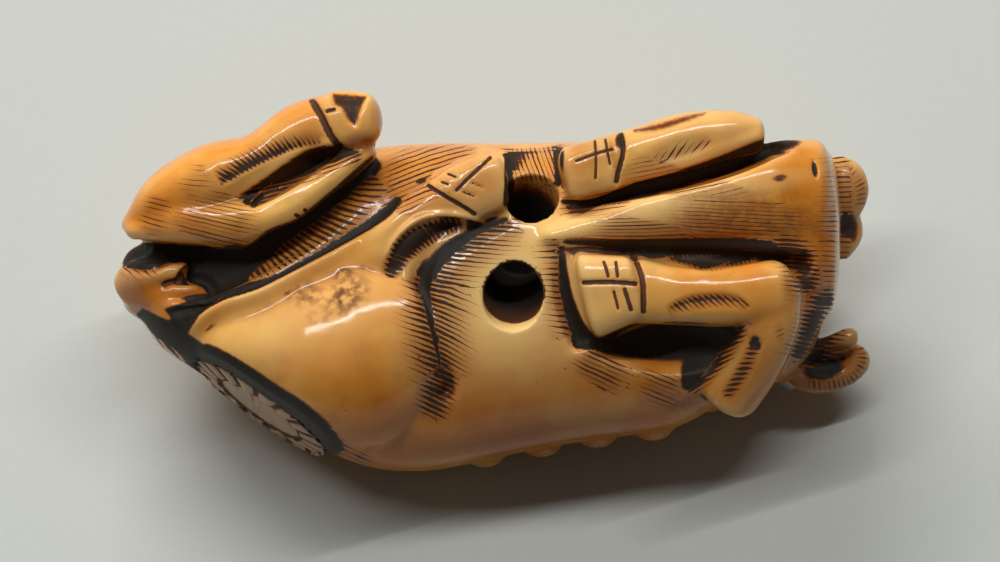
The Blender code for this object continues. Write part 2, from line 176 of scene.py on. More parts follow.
@dataclass(frozen=True)
class Ball:
    """An ellipsoid, turned about X, then Y, then Z by degrees."""

    centre: tuple[float, float, float]
    radii: tuple[float, float, float]
    turn: tuple[float, float, float] = (0.0, 0.0, 0.0)

    def build(self, bm: bmesh.types.BMesh) -> None:
        """Adds the ellipsoid to a bmesh."""
        matrix = Matrix.Translation(self.centre)
        for axis, angle in zip("ZYX", reversed(self.turn)):
            matrix = matrix @ Matrix.Rotation(math.radians(angle), 4, axis)
        matrix = matrix @ Matrix.Diagonal((*self.radii, 1.0))
        bmesh.ops.create_uvsphere(bm, u_segments=48, v_segments=24, radius=1.0, matrix=matrix)


@dataclass(frozen=True)
class Bore:
    """A round bore from its mouth down to where the cord's two passages meet."""

    mouth: tuple[float, float, float]
    meeting: tuple[float, float, float]
    diameter: float
    past: float = 3.0

    def build(self, bm: bmesh.types.BMesh) -> None:
        """Adds the bore's cylinder to a bmesh."""
        start = Vector(self.meeting)
        run = Vector(self.mouth) - start
        depth = run.length + self.past
        matrix = Matrix.Translation(start + run.normalized() * depth / 2)
        matrix = matrix @ run.to_track_quat("Z", "Y").to_matrix().to_4x4()
        radius = self.diameter / 2
        bmesh.ops.create_cone(
            bm, cap_ends=True, segments=96, radius1=radius, radius2=radius, depth=depth, matrix=matrix
        )


Shape = Limb | Ball | Bore


class Trace:
    """A smooth line in the plane of the view, along which marks are measured."""

    def __init__(self, stations: tuple[tuple[float, ...], ...], steps: int = 8) -> None:
        """Spreads the stations' rows along a smooth curve."""
        self.rows = spline(np.array(stations, dtype=float), steps)
        self.starts = self.rows[:-1, :2]
        self.runs = np.diff(self.rows[:, :2], axis=0)
        self.lengths = np.linalg.norm(self.runs, axis=1)
        self.ways = self.runs / self.lengths[:, None]
        self.along = np.concatenate([[0.0], np.cumsum(self.lengths)])

    def within(self, plan: np.ndarray, reach: float) -> np.ndarray:
        """Finds which points of the plan lie in the line's own box, widened by a reach."""
        low = self.rows[:, :2].min(axis=0) - reach
        high = self.rows[:, :2].max(axis=0) + reach
        return np.flatnonzero(np.all((plan > low) & (plan < high), axis=1))

    def measure(self, plan: np.ndarray) -> tuple[np.ndarray, np.ndarray, np.ndarray]:
        """Measures points against the line.

        Args:
            plan: The points, a row of x and y for each.

        Returns:
            The length along the line, which runs on past its ends, the offset to its left, and the
            row of the curve that each point is at, as a number with a fraction.
        """
        across = plan[:, None, :] - self.starts[None, :, :]
        share = np.einsum("kij,ij->ki", across, self.runs) / self.lengths**2
        held = np.clip(share, 0.0, 1.0)
        gaps = across - held[:, :, None] * self.runs
        nearest = np.argmin(np.einsum("kij,kij->ki", gaps, gaps), axis=1)
        pick = np.arange(len(plan))
        last = len(self.runs) - 1
        share = share[pick, nearest]
        low = np.where(nearest == 0, -np.inf, 0.0)
        high = np.where(nearest == last, np.inf, 1.0)
        share = np.clip(share, low, high)
        way = self.ways[nearest]
        offset = way[:, 0] * across[pick, nearest, 1] - way[:, 1] * across[pick, nearest, 0]
        along = self.along[nearest] + share * self.lengths[nearest]
        return along, offset, nearest + np.clip(share, 0.0, 1.0)

    def read(self, column: int, row: np.ndarray) -> np.ndarray:
        """Reads a column of the stations at the given rows of the curve."""
        return np.interp(row, np.arange(len(self.rows)), self.rows[:, column])

    def headings(self) -> np.ndarray:
        """The line's own heading at each row of the curve, in radians."""
        turns = np.unwrap(np.arctan2(self.ways[:, 1], self.ways[:, 0]))
        return np.interp(np.arange(len(self.rows)), np.arange(len(turns)) + 0.5, turns)


@dataclass
class Layers:
    """What the engraver lays over the carving: relief, stain, hair, scored lines and tints, with painted
    shade among the stain and the tints.
    """

    count: int
    height: np.ndarray = field(init=False)
    stain: np.ndarray = field(init=False)
    ink: np.ndarray = field(init=False)
    hair: np.ndarray = field(init=False)
    phase: np.ndarray = field(init=False)
    score: np.ndarray = field(init=False)
    mark: np.ndarray = field(init=False)
    tint: np.ndarray = field(init=False)
    plaque: np.ndarray = field(init=False)

    def __post_init__(self) -> None:
        """Starts every layer bare."""
        for name in ("height", "stain", "ink", "hair", "phase"):
            setattr(self, name, np.zeros(self.count))
        self.score = np.full((self.count, 3), NO_LINE_NEAR)
        self.mark = np.zeros((self.count, 3))
        self.tint = np.zeros((self.count, 3))
        self.plaque = np.zeros((self.count, 3))


@dataclass(frozen=True)
class Surface:
    """The carving's points and the way the skin faces at each, in the carver's frame."""

    places: np.ndarray
    normals: np.ndarray

    def facing(self, side: Side) -> np.ndarray:
        """How far each point faces the given side, from 0 to 1."""
        way, bare, full = side.value
        return smoothstep(bare, full, self.normals[:, 2] * way)


@dataclass(frozen=True)
class Band:
    """A band of stain along a line, which may break into hair strokes and be let into the surface.

    A station is x, y, the reach to the left of the line, the reach to its right and, for hair, the
    heading of the strokes in degrees. The stain is half gone at its reach, and fades over the width
    in edges. Ink runs from brown at 0 to near black at 1. A pitch of 0 leaves the stain whole.
    """

    stations: tuple[tuple[float, ...], ...]
    strength: float = 1.2
    edges: tuple[float, float] = (0.45, 0.45)
    end: float = 0.5
    ink: float = 1.0
    pitch: float = 0.0
    depth: float = 0.0
    side: Side = Side.UNDERSIDE

    def phases(self, trace: Trace, offset: np.ndarray, row: np.ndarray) -> np.ndarray:
        """Numbers the strokes across the band, so that each is a whole number."""
        swing = np.radians(trace.rows[:, 4]) - trace.headings()
        step = np.abs(np.sin(swing)) / self.pitch
        steps = np.concatenate([[0.0], np.cumsum(0.5 * (step[1:] + step[:-1]) * trace.lengths)])
        lean = np.cos(swing) * np.sign(np.sin(swing))
        rows = np.arange(len(trace.rows))
        return np.interp(row, rows, steps) - offset * np.interp(row, rows, lean) / self.pitch

    def lay(self, surface: Surface, layers: Layers) -> None:
        """Lays the band over the carving.

        Args:
            surface: The carving's points.
            layers: The layers that the band is added to.
        """
        trace = Trace(self.stations)
        reach = max(max(row[2:4]) for row in self.stations) + max(self.edges)
        found = trace.within(surface.places[:, :2], reach)
        along, offset, row = trace.measure(surface.places[found, :2])
        left = offset > 0.0
        wide = np.where(left, trace.read(2, row), trace.read(3, row))
        soft = np.where(left, self.edges[0], self.edges[1])
        across = np.clip(0.5 + (wide - np.abs(offset)) / soft, 0.0, 1.0)
        inside = np.minimum(along, trace.along[-1] - along)
        across = across * smoothstep(-0.5 * self.end, 0.5 * self.end, inside)
        across = across * surface.facing(self.side)[found]
        layers.height[found] -= self.depth * across
        stain = self.strength * across
        leads = stain > layers.stain[found]
        found = found[leads]
        layers.stain[found] = stain[leads]
        layers.ink[found] = self.ink
        layers.hair[found] = 1.0 if self.pitch else 0.0
        if self.pitch:
            layers.phase[found] = self.phases(trace, offset[leads], row[leads])


@dataclass(frozen=True)
class Score:
    """A line scored with a graver and filled with stain, in one of three sets that keep apart."""

    points: tuple[tuple[float, float], ...]
    width: float = 0.32
    depth: float = 0.14
    group: int = 0
    side: Side = Side.UNDERSIDE
    reach: float = 3.0
    clear: float = 0.5
    taper: float = 0.35

    def lay(self, surface: Surface, layers: Layers) -> None:
        """Scores the line into the carving."""
        trace = Trace(self.points)
        found = trace.within(surface.places[:, :2], self.reach)
        along, offset, _ = trace.measure(surface.places[found, :2])
        inside = np.minimum(along, trace.along[-1] - along)
        mark = smoothstep(-0.1, self.taper, inside)
        mark = mark * (1.0 - smoothstep(0.8 * self.clear, self.clear, np.abs(offset)))
        mark = mark * surface.facing(self.side)[found]
        half = self.width / 2
        layers.height[found] -= self.depth * mark * np.exp(-((offset / half) ** 2))
        nearer = np.abs(offset / half) < np.abs(layers.score[found, self.group])
        leads = nearer & (mark >= layers.mark[found, self.group])
        found = found[leads]
        layers.score[found, self.group] = offset[leads] / half
        layers.mark[found, self.group] = mark[leads]


@dataclass(frozen=True)
class Ledge:
    """A step in the surface: the left of the line stands proud and the right of it is let in."""

    points: tuple[tuple[float, float], ...]
    rise: float = 0.25
    sink: float = 0.35
    rise_reach: float = 1.6
    sink_reach: float = 1.6
    blend: float = 0.14
    side: Side = Side.UNDERSIDE

    def lay(self, surface: Surface, layers: Layers) -> None:
        """Cuts the step into the carving."""
        trace = Trace(self.points)
        found = trace.within(surface.places[:, :2], max(self.rise_reach, self.sink_reach))
        along, offset, _ = trace.measure(surface.places[found, :2])
        inside = np.minimum(along, trace.along[-1] - along)
        share = 0.5 + 0.5 * np.tanh(offset / self.blend)
        above = 1.0 - smoothstep(0.2 * self.rise_reach, self.rise_reach, offset)
        below = 1.0 - smoothstep(0.2 * self.sink_reach, self.sink_reach, -offset)
        held = smoothstep(-0.2, 1.0, inside) * surface.facing(self.side)[found]
        layers.height[found] += (self.rise * share * above - self.sink * (1.0 - share) * below) * held


@dataclass(frozen=True)
class Spot:
    """An oval dent, stain or tint, soft at its rim. A ruddy tint gives reddish colour, and in some places
    painted shade.
    """

    centre: tuple[float, float]
    radii: tuple[float, float]
    turn: float = 0.0
    strength: float = 0.0
    soft: float = 0.5
    ink: float = 1.0
    depth: float = 0.0
    pale: float = 0.0
    ruddy_and_shade: float = 0.0
    wear: float = 0.0
    side: Side = Side.UNDERSIDE

    def lay(self, surface: Surface, layers: Layers) -> None:
        """Lays the spot over the carving."""
        away = surface.places[:, :2] - np.array(self.centre)
        turn = math.radians(self.turn)
        along = (away[:, 0] * math.cos(turn) + away[:, 1] * math.sin(turn)) / self.radii[0]
        across = (away[:, 1] * math.cos(turn) - away[:, 0] * math.sin(turn)) / self.radii[1]
        away = np.hypot(along, across)
        found = np.flatnonzero(away < 1.0 + self.soft)
        share = np.clip(0.5 + (1.0 - away[found]) / self.soft, 0.0, 1.0)
        share = share * surface.facing(self.side)[found]
        layers.height[found] -= self.depth * share
        tints = np.array([self.pale, self.ruddy_and_shade, self.wear])
        layers.tint[found] = np.maximum(layers.tint[found], share[:, None] * tints)
        stain = self.strength * share
        leads = stain > layers.stain[found]
        layers.stain[found[leads]] = stain[leads]
        layers.ink[found[leads]] = self.ink
        layers.hair[found[leads]] = 0.0


@dataclass(frozen=True)
class Patch:
    """A patch with straight sides. It is stained, or wiped clean where its strength is 0."""

    corners: tuple[tuple[float, float], ...]
    strength: float = 0.0
    soft: float = 0.3
    ink: float = 1.0
    depth: float = 0.0
    side: Side = Side.UNDERSIDE

    def inside(self, plan: np.ndarray) -> np.ndarray:
        """How far each point of the plan lies inside the patch, less than 0 outside it."""
        starts = np.array(self.corners)
        stops = np.roll(starts, -1, axis=0)
        runs = stops - starts
        away = plan[:, None, :] - starts[None, :, :]
        share = np.clip(np.einsum("kij,ij->ki", away, runs) / np.sum(runs**2, axis=1), 0.0, 1.0)
        gaps = away - share[:, :, None] * runs
        near = np.sqrt(np.einsum("kij,kij->ki", gaps, gaps).min(axis=1))
        above = (starts[None, :, 1] > plan[:, 1:]) != (stops[None, :, 1] > plan[:, 1:])
        rise = np.where(runs[:, 1] == 0.0, 1.0, runs[:, 1])
        meets = starts[:, 0] + (plan[:, 1:] - starts[:, 1]) / rise * runs[:, 0]
        crossed = np.sum(above & (plan[:, :1] < meets), axis=1)
        return np.where(crossed % 2 == 1, near, -near)

    def lay(self, surface: Surface, layers: Layers) -> None:
        """Lays the patch over the carving."""
        low, high = np.min(self.corners, axis=0) - self.soft, np.max(self.corners, axis=0) + self.soft
        plan = surface.places[:, :2]
        found = np.flatnonzero(np.all((plan > low) & (plan < high), axis=1))
        share = np.clip(0.5 + self.inside(plan[found]) / self.soft, 0.0, 1.0)
        share = share * surface.facing(self.side)[found]
        layers.height[found] -= self.depth * share
        if self.strength == 0.0:
            layers.stain[found] *= 1.0 - share
            return
        stain = self.strength * share
        leads = stain > layers.stain[found]
        layers.stain[found[leads]] = stain[leads]
        layers.ink[found[leads]] = self.ink
        layers.hair[found[leads]] = 0.0


Mark = Band | Score | Ledge | Spot | Patch


@dataclass(frozen=True)
class Trunk:
    """The barrel of the body with the neck's ridge and the knobs of the backbone."""

    knobs: int = 9
    knob_radii: tuple[float, float, float] = (1.7, 1.3, 1.9)
    knob_sunk: tuple[float, float, float] = (0.0, 0.45, 0.1)
    knob_line: tuple[tuple[float, float], ...] = (
        (-18.7, 45.0), (-5.4, 24.0), (-0.9, 10.0), (12.5, 8.0), (16.9, 20.0),
    )
    barrel: Limb = Limb(
        (
            (-28.3, 0.1, -1.5, 2.9, 4.2), (-26.4, -0.1, -1.5, 5.2, 6.0), (-23.5, -0.2, -1.6, 7.0, 7.4),
            (-20.0, -0.7, -1.7, 9.0, 8.5), (-15.0, -1.6, -1.8, 11.0, 9.2), (-10.0, -2.0, -1.8, 12.7, 9.4),
            (-5.0, -1.9, -1.6, 13.0, 9.3), (1.0, -1.3, -1.4, 12.4, 9.2), (7.0, -0.7, -1.4, 11.9, 9.0),
            (13.0, -0.4, -1.2, 11.4, 8.8), (15.6, 0.0, -1.1, 10.9, 8.5), (19.0, 0.9, -1.0, 9.8, 8.2),
            (22.0, 1.4, -1.0, 9.4, 8.0), (24.6, 2.6, -1.0, 8.6, 7.6), (26.2, 3.9, -1.0, 6.7, 6.6),
        ),
        caps=(1.7, 1.1),
        facing=tuple(ALONG_X),
    )
    brisket: Limb = Limb(
        (
            (4.5, 3.7, 6.6, 0.9, 1.4), (10.0, 5.0, 6.6, 2.1, 2.4), (16.0, 6.3, 5.8, 3.3, 3.2),
            (21.5, 6.8, 3.8, 4.3, 4.4), (25.2, 6.1, 1.6, 5.3, 5.2),
        ),
        caps=(1.2, 1.7),
        facing=tuple(ALONG_X),
    )

    def skin_point(self, x: float, turn: float) -> Vector:
        """A point on the barrel at x, turned by degrees from the lower outline to the back."""
        rows = np.array(self.barrel.stations)
        y, z, width, depth = (np.interp(x, rows[:, 0], rows[:, k]) for k in range(1, 5))
        angle = math.radians(turn)
        return Vector((x, y - width * math.cos(angle), z - depth * math.sin(angle)))

    def spine(self) -> list[Ball]:
        """The knobs of the backbone, which end in the lower outline."""
        places, turns = zip(*self.knob_line)
        sunk = Vector(self.knob_sunk)
        return [
            Ball(tuple(self.skin_point(x, np.interp(x, places, turns)) + sunk), self.knob_radii)
            for x in np.linspace(places[0], places[-1], self.knobs)
        ]

    def shapes(self) -> list[Shape]:
        """The solid forms of the trunk."""
        return [self.barrel, self.brisket, *self.spine()]

    def marks(self) -> list[Mark]:
        """The hair, stain and polish of the belly, the neck and the chest, and painted shade on the lower
        flank.
        """
        return [
            Spot((1.0, 0.0), (8.0, 7.0), pale=1.0, soft=1.4),
            # painted shade: the lower flank, turned down from the light, drawn darker and redder
            Spot((4.0, -12.5), (15.0, 4.6), turn=3.0, ruddy_and_shade=0.85, soft=1.7),
            Spot((13.0, -9.5), (6.0, 3.0), turn=20.0, ruddy_and_shade=0.5, soft=1.6),
            Spot((8.0, 4.0), (8.0, 4.0), turn=12.0, pale=0.7, soft=1.2),
            Spot((16.0, 3.6), (8.0, 1.8), turn=6.0, ruddy_and_shade=0.4, soft=1.4),
            Spot((12.0, 5.6), (10.0, 1.0), turn=13.0, pale=0.9, soft=1.0),
            Spot((20.0, 4.8), (4.8, 2.0), ruddy_and_shade=0.2, wear=0.45, soft=1.4),
            Spot((27.8, 5.0), (1.3, 7.0), pale=0.7, soft=1.0),
            Band(
                ((-7.6, 5.4, 2.0, 2.0, 24.0), (-6.6, 8.0, 2.6, 3.2, 22.0),
                 (-4.8, 10.2, 2.6, 5.0, 18.0), (-2.0, 11.6, 1.6, 6.0, 10.0)),
                strength=0.74, edges=(1.6, 3.0), pitch=0.38, ink=0.8,
            ),
            Band(((2.9, 7.9, 2.2, 2.3, 112.0), (2.9, 10.7, 2.2, 2.2, 106.0)),
                 strength=0.72, edges=(0.8, 0.5), pitch=0.34, ink=0.5),
            Band(((1.1, 10.6, 0.55, 0.5), (0.9, 8.2, 0.5, 0.5), (1.0, 6.0, 0.4, 0.4)), edges=(0.8, 0.4)),
            Band(((5.0, 11.0, 0.3, 0.5), (4.9, 9.0, 0.3, 0.4), (4.9, 7.6, 0.2, 0.3)), edges=(0.4, 0.6)),
            Band(((7.4, 4.8, 3.0, 3.0, 7.0), (7.8, 6.6, 3.0, 3.0, 7.0)),
                 strength=0.5, edges=(2.0, 2.0), pitch=0.42, ink=0.3),
            Band(((14.6, 6.4, 5.0, 6.0, 11.0), (15.4, 8.8, 5.0, 6.0, 12.0)),
                 strength=0.55, edges=(2.5, 3.0), pitch=0.36, ink=0.35),
            Band(((11.0, 2.8, 4.0, 5.0, -1.0), (11.4, 5.0, 3.0, 5.0, 3.0)),
                 strength=0.7, edges=(2.5, 3.0), pitch=0.28, ink=0.5),
            Band(((18.5, 2.4, 5.0, 6.0, -4.0), (19.0, 6.6, 5.0, 5.5, -2.0)),
                 strength=0.62, edges=(3.0, 3.0), pitch=0.3, ink=0.4),
            Band(
                ((27.3, 10.8, 0.8, 1.4, 8.0), (27.7, 8.0, 0.8, 2.0, 3.0), (27.7, 4.0, 0.8, 2.6, 0.0),
                 (27.4, 0.5, 0.8, 3.0, -3.0), (26.6, -3.0, 0.8, 2.8, -6.0)),
                strength=0.72, edges=(0.6, 2.4), pitch=0.4, ink=0.7,
            ),
            Band(((26.9, -0.6, 1.2, 2.0, -4.0), (26.0, -3.4, 1.6, 2.2, -8.0),
                  (24.4, -6.6, 1.8, 2.0, -14.0)),
                 strength=1.5, edges=(1.8, 2.0), end=1.6, pitch=0.38),
            Band(((21.6, 3.4, 0.9, 1.2, -2.0), (23.8, 2.2, 1.2, 1.4, -4.0), (24.6, -1.0, 1.2, 1.6, -6.0)),
                 strength=1.35, edges=(2.0, 2.2), end=1.6, pitch=0.36),
            Spot((25.0, 8.9), (0.16, 0.55), turn=8.0, strength=1.2, soft=1.2, depth=0.3),
            Spot((22.2, 8.2), (0.6, 0.3), turn=10.0, strength=0.7, soft=1.2, ink=0.2),
        ]


@dataclass(frozen=True)
class FarHindLeg:
    """The far hind leg: a thigh ridge, a shin ridge, the hollow between them and the hoof."""

    thigh: Limb = Limb(
        (
            (-28.5, 4.7, 1.6, 1.0, 2.2), (-25.8, 6.4, 2.6, 2.5, 3.8), (-22.0, 8.2, 3.6, 2.9, 4.4),
            (-18.5, 9.7, 4.4, 2.2, 4.0), (-15.6, 11.7, 5.0, 2.3, 3.4), (-13.4, 12.7, 5.6, 2.1, 3.0),
        ),
        caps=(0.9, 1.0),
    )
    shin: Limb = Limb(
        (
            (-28.0, 4.4, 1.8, 0.9, 2.8), (-24.5, 5.1, 3.0, 2.0, 4.0), (-20.5, 5.0, 3.9, 2.1, 4.2),
            (-16.8, 6.1, 4.6, 1.9, 3.9), (-12.8, 8.6, 5.2, 1.4, 3.2), (-10.0, 10.3, 5.2, 0.8, 2.6),
        ),
        caps=(1.0, 0.6),
    )
    hoof: Limb = Limb(
        ((-13.6, 12.4, 5.6, 2.2, 2.9), (-12.0, 12.6, 6.0, 2.5, 3.0), (-10.2, 12.9, 6.0, 2.1, 2.8)),
        caps=(0.5, 1.3),
        squareness=2.8,
    )
    hollow: Ball = Ball((-15.6, 8.35, 9.0), (4.6, 0.75, 3.2), turn=(0.0, 0.0, 33.0))

    def shapes(self) -> list[Shape]:
        """The solid forms of the leg."""
        return [self.thigh, self.shin, self.hoof]

    def marks(self) -> list[Mark]:
        """The ledge under the shin with painted shade below it, the tuft on the thigh, the hollow and the
        hoof's lines.
        """
        edge = (
            (-29.4, 3.25), (-27.0, 3.1), (-24.0, 2.95), (-20.8, 2.7), (-19.4, 2.95),
            (-17.7, 4.1), (-15.5, 5.0), (-13.1, 6.9), (-11.3, 8.5), (-9.6, 10.0),
        )
        depths = (1.3, 1.6, 1.8, 2.4, 2.1, 1.7, 1.1, 1.1, 1.2, 1.0)
        return [
            Spot((-18.0, 9.0), (9.0, 2.0), turn=35.0, pale=0.25, soft=1.2),
            Spot((-19.0, 6.7), (0.9, 0.5), turn=30.0, strength=1.2, soft=0.8),
            Spot((-10.4, 10.9), (1.7, 0.7), turn=5.0, ruddy_and_shade=0.9, soft=0.8),
            Ledge(edge, rise=0.35, sink=0.5, rise_reach=1.8, sink_reach=2.2),
            # painted shade: a near-black band below the ledge, where the shin overhangs
            Band(tuple((*place, 0.0, deep) for place, deep in zip(edge, depths)), edges=(0.5, 0.9)),
            Ledge(((-20.3, 6.6), (-18.5, 7.8), (-16.4, 9.3), (-14.5, 10.4), (-12.3, 10.7)),
                  rise=0.2, sink=0.35, rise_reach=0.8, sink_reach=1.9),
            Band(
                ((-20.3, 6.6, 0.0, 0.2, 10.0), (-18.5, 7.8, 0.0, 0.9, 12.0), (-16.4, 9.3, 0.0, 1.7, 15.0),
                 (-14.5, 10.4, 0.0, 2.0, 18.0), (-12.3, 10.7, 0.0, 1.6, 22.0),
                 (-10.4, 10.1, 0.0, 0.5, 26.0)),
                strength=1.7, edges=(0.4, 1.8), pitch=0.34,
            ),
            Band(
                ((-21.5, 7.7, 0.8, 0.1, 152.0), (-19.4, 8.85, 1.0, 0.1, 140.0),
                 (-17.4, 9.85, 0.9, 0.1, 132.0), (-15.5, 10.65, 0.5, 0.1, 124.0),
                 (-13.6, 10.95, 0.1, 0.0, 120.0)),
                strength=1.5, edges=(1.5, 0.4), pitch=0.34, depth=0.15,
            ),
            Band(((-22.6, 2.9, 3.4, 2.4, -14.0), (-21.4, 5.0, 3.4, 2.8, -12.0),
                  (-20.6, 6.8, 1.4, 2.0, -10.0)),
                 strength=0.64, edges=(2.4, 2.6), pitch=0.33, ink=0.3),
            Band(((-27.4, 3.9, 1.0, 1.3, -16.0), (-26.4, 6.8, 0.9, 1.4, -12.0)),
                 strength=0.62, edges=(1.2, 1.4), pitch=0.4, ink=0.25),
            Band(((-24.4, 6.9, 0.9, 1.4, -8.0), (-22.8, 9.1, 0.8, 1.2, -4.0)),
                 strength=0.5, edges=(1.2, 1.4), pitch=0.4, ink=0.1),
            Score(((-15.9, 5.5), (-15.1, 4.95)), width=0.24),
            Score(((-15.2, 5.9), (-14.6, 5.4)), width=0.24, group=1),
            Score(((-14.6, 14.6), (-13.6, 12.9), (-12.9, 11.5), (-12.0, 10.3)), width=0.46, depth=0.3),
            Score(((-13.5, 13.3), (-12.3, 13.6)), width=0.26, group=1),
            Patch(
                ((-12.84, 14.83), (-10.06, 14.59), (-10.53, 13.63), (-10.93, 12.2), (-11.49, 12.6),
                 (-12.04, 13.63), (-12.68, 13.95)),
                strength=0.7, soft=0.5, ink=0.8, depth=0.35,
            ),
        ]


@dataclass(frozen=True)
class NearHindLeg:
    """The near haunch, a pear with its point towards the tail, and its shin and square hoof."""

    haunch: Limb = Limb(
        (
            (-24.0, -3.7, 1.7, 0.8, 2.2), (-20.5, -4.7, 1.9, 3.8, 5.4), (-16.5, -5.1, 1.3, 6.6, 8.0),
            (-12.0, -5.3, 0.8, 8.4, 9.3), (-9.2, -4.3, 0.5, 8.0, 9.2), (-7.2, -3.1, 0.1, 6.8, 8.7),
        ),
        caps=(0.6, 1.9),
        squareness=2.15,
    )
    shin: Limb = Limb(
        (
            (-11.5, 0.0, 3.2, 1.6, 3.0), (-8.8, 2.4, 4.7, 2.2, 3.2), (-6.3, 4.9, 5.3, 2.0, 3.1),
            (-4.2, 6.5, 5.3, 1.9, 3.0),
        ),
        caps=(1.0, 0.8),
        squareness=2.6,
    )
    hoof: Limb = Limb(
        (
            (-3.8, 6.1, 5.2, 2.2, 2.9), (-2.6, 6.9, 5.3, 2.4, 3.1), (-1.0, 7.6, 5.2, 2.4, 3.1),
            (0.2, 8.0, 5.0, 2.2, 3.0),
        ),
        caps=(0.3, 0.6),
        squareness=3.6,
    )

    def shapes(self) -> list[Shape]:
        """The solid forms of the leg."""
        return [self.haunch, self.shin, self.hoof]

    def marks(self) -> list[Mark]:
        """The flank's crease, the hock's dark crescent, the hoof's lines and the worn blotches."""
        crease = (
            (1.0, 4.9), (-1.5, 3.8), (-3.5, 2.7), (-5.0, 1.3), (-5.6, -0.1), (-5.4, -1.7),
            (-4.9, -3.7), (-4.5, -5.7), (-4.3, -7.4),
        )
        belly_reach = (0.15, 0.55, 0.9, 1.1, 0.9, 0.7, 0.55, 0.4, 0.2)
        haunch_reach = (0.25, 0.5, 0.6, 0.5, 0.5, 0.5, 0.5, 0.4, 0.2)
        return [
            Patch(
                ((-5.45, 7.67), (-4.89, 8.7), (-2.27, 9.98), (-0.36, 10.6), (0.68, 9.82), (0.68, 7.43),
                 (0.44, 6.0), (-1.15, 5.13), (-3.14, 6.16)),
                soft=0.25, depth=-0.12,
            ),
            Spot((-1.8, 6.9), (2.6, 2.2), turn=35.0, ruddy_and_shade=0.35, soft=1.0),
            Spot((-14.0, -2.6), (9.0, 3.4), turn=22.0, pale=0.55, soft=1.4),
            Spot((-11.9, 0.7), (0.8, 0.5), turn=20.0, wear=1.0, soft=0.8),
            Spot((-11.7, -1.0), (1.7, 1.2), turn=40.0, wear=0.95, soft=1.1),
            Spot((-14.8, -0.9), (1.2, 0.9), turn=10.0, wear=0.75, soft=1.2),
            Spot((-13.6, -2.7), (1.3, 0.6), turn=10.0, wear=0.4, soft=1.0),
            Spot((-5.0, -8.6), (2.4, 3.4), ruddy_and_shade=0.5, soft=1.6),
            Band(tuple((*p, a, b) for p, a, b in zip(crease, belly_reach, haunch_reach)),
                 edges=(1.0, 0.7), depth=0.2),
            Band(
                ((2.0, 5.0, 1.0, 0.2, -3.0), (-1.5, 3.8, 2.2, 0.2, -5.0), (-3.5, 2.7, 2.6, 0.2, -8.0),
                 (-4.9, 1.2, 2.9, 0.2, -10.0), (-5.4, -0.1, 3.0, 0.2, -12.0), (-5.2, -1.7, 2.8, 0.2, -17.0),
                 (-4.8, -3.7, 2.4, 0.2, -24.0), (-4.4, -5.7, 2.0, 0.2, -28.0),
                 (-4.3, -7.6, 1.6, 0.2, -28.0)),
                strength=1.12, edges=(3.4, 0.4), pitch=0.36,
            ),
            Band(
                ((-5.9, 0.6, 0.2, 0.8, -24.0), (-5.6, -1.7, 0.2, 1.6, -20.0), (-5.0, -3.7, 0.2, 1.9, -20.0),
                 (-4.6, -5.7, 0.2, 1.8, -24.0), (-4.4, -8.1, 0.2, 1.5, -26.0),
                 (-4.6, -9.8, 0.2, 1.0, -26.0)),
                strength=1.1, edges=(0.4, 2.6), pitch=0.42, ink=0.9,
            ),
            Band(((-3.9, -6.2, 1.0, 1.2, -24.0), (-4.3, -8.2, 1.1, 1.6, -26.0),
                  (-4.8, -10.8, 0.8, 1.4, -26.0)),
                 strength=1.2, edges=(1.2, 1.6), end=1.8, pitch=0.4, ink=0.9),
            Band(
                ((-8.3, 0.5, 0.6, 0.4, -20.0), (-7.3, 2.5, 0.8, 0.9, -25.0), (-5.9, 3.75, 0.7, 0.9, -48.0),
                 (-4.3, 4.4, 0.5, 0.7, -62.0), (-2.6, 4.7, 0.2, 0.4, -70.0)),
                strength=1.5, edges=(0.6, 0.7), pitch=0.4, depth=0.22,
            ),
            Ledge(((-8.4, 1.6), (-7.6, 3.3), (-6.2, 4.6), (-4.3, 5.15), (-2.4, 5.0), (-0.8, 4.6)),
                  rise=0.28, sink=0.25, rise_reach=0.7, sink_reach=1.4),
            Score(((-5.6, 7.8), (-4.2, 6.9), (-2.8, 6.1), (-1.4, 5.2)), width=0.28, depth=0.16),
            Spot((-5.9, 8.0), (0.8, 0.4), turn=15.0, strength=0.9, soft=1.4, ink=0.8),
            Score(((-0.2, 10.0), (-1.8, 8.5), (-3.3, 7.0)), width=0.24, depth=0.12, group=1),
            Score(((-4.0, 8.6), (-2.9, 8.15)), width=0.15, group=2),
            Score(((-4.5, 7.95), (-3.5, 7.6)), width=0.15, group=0),
            Score(((-2.2, 7.9), (-0.9, 7.35)), width=0.15, group=2),
            Score(((-2.8, 7.2), (-1.5, 6.7)), width=0.15, group=0),
        ]


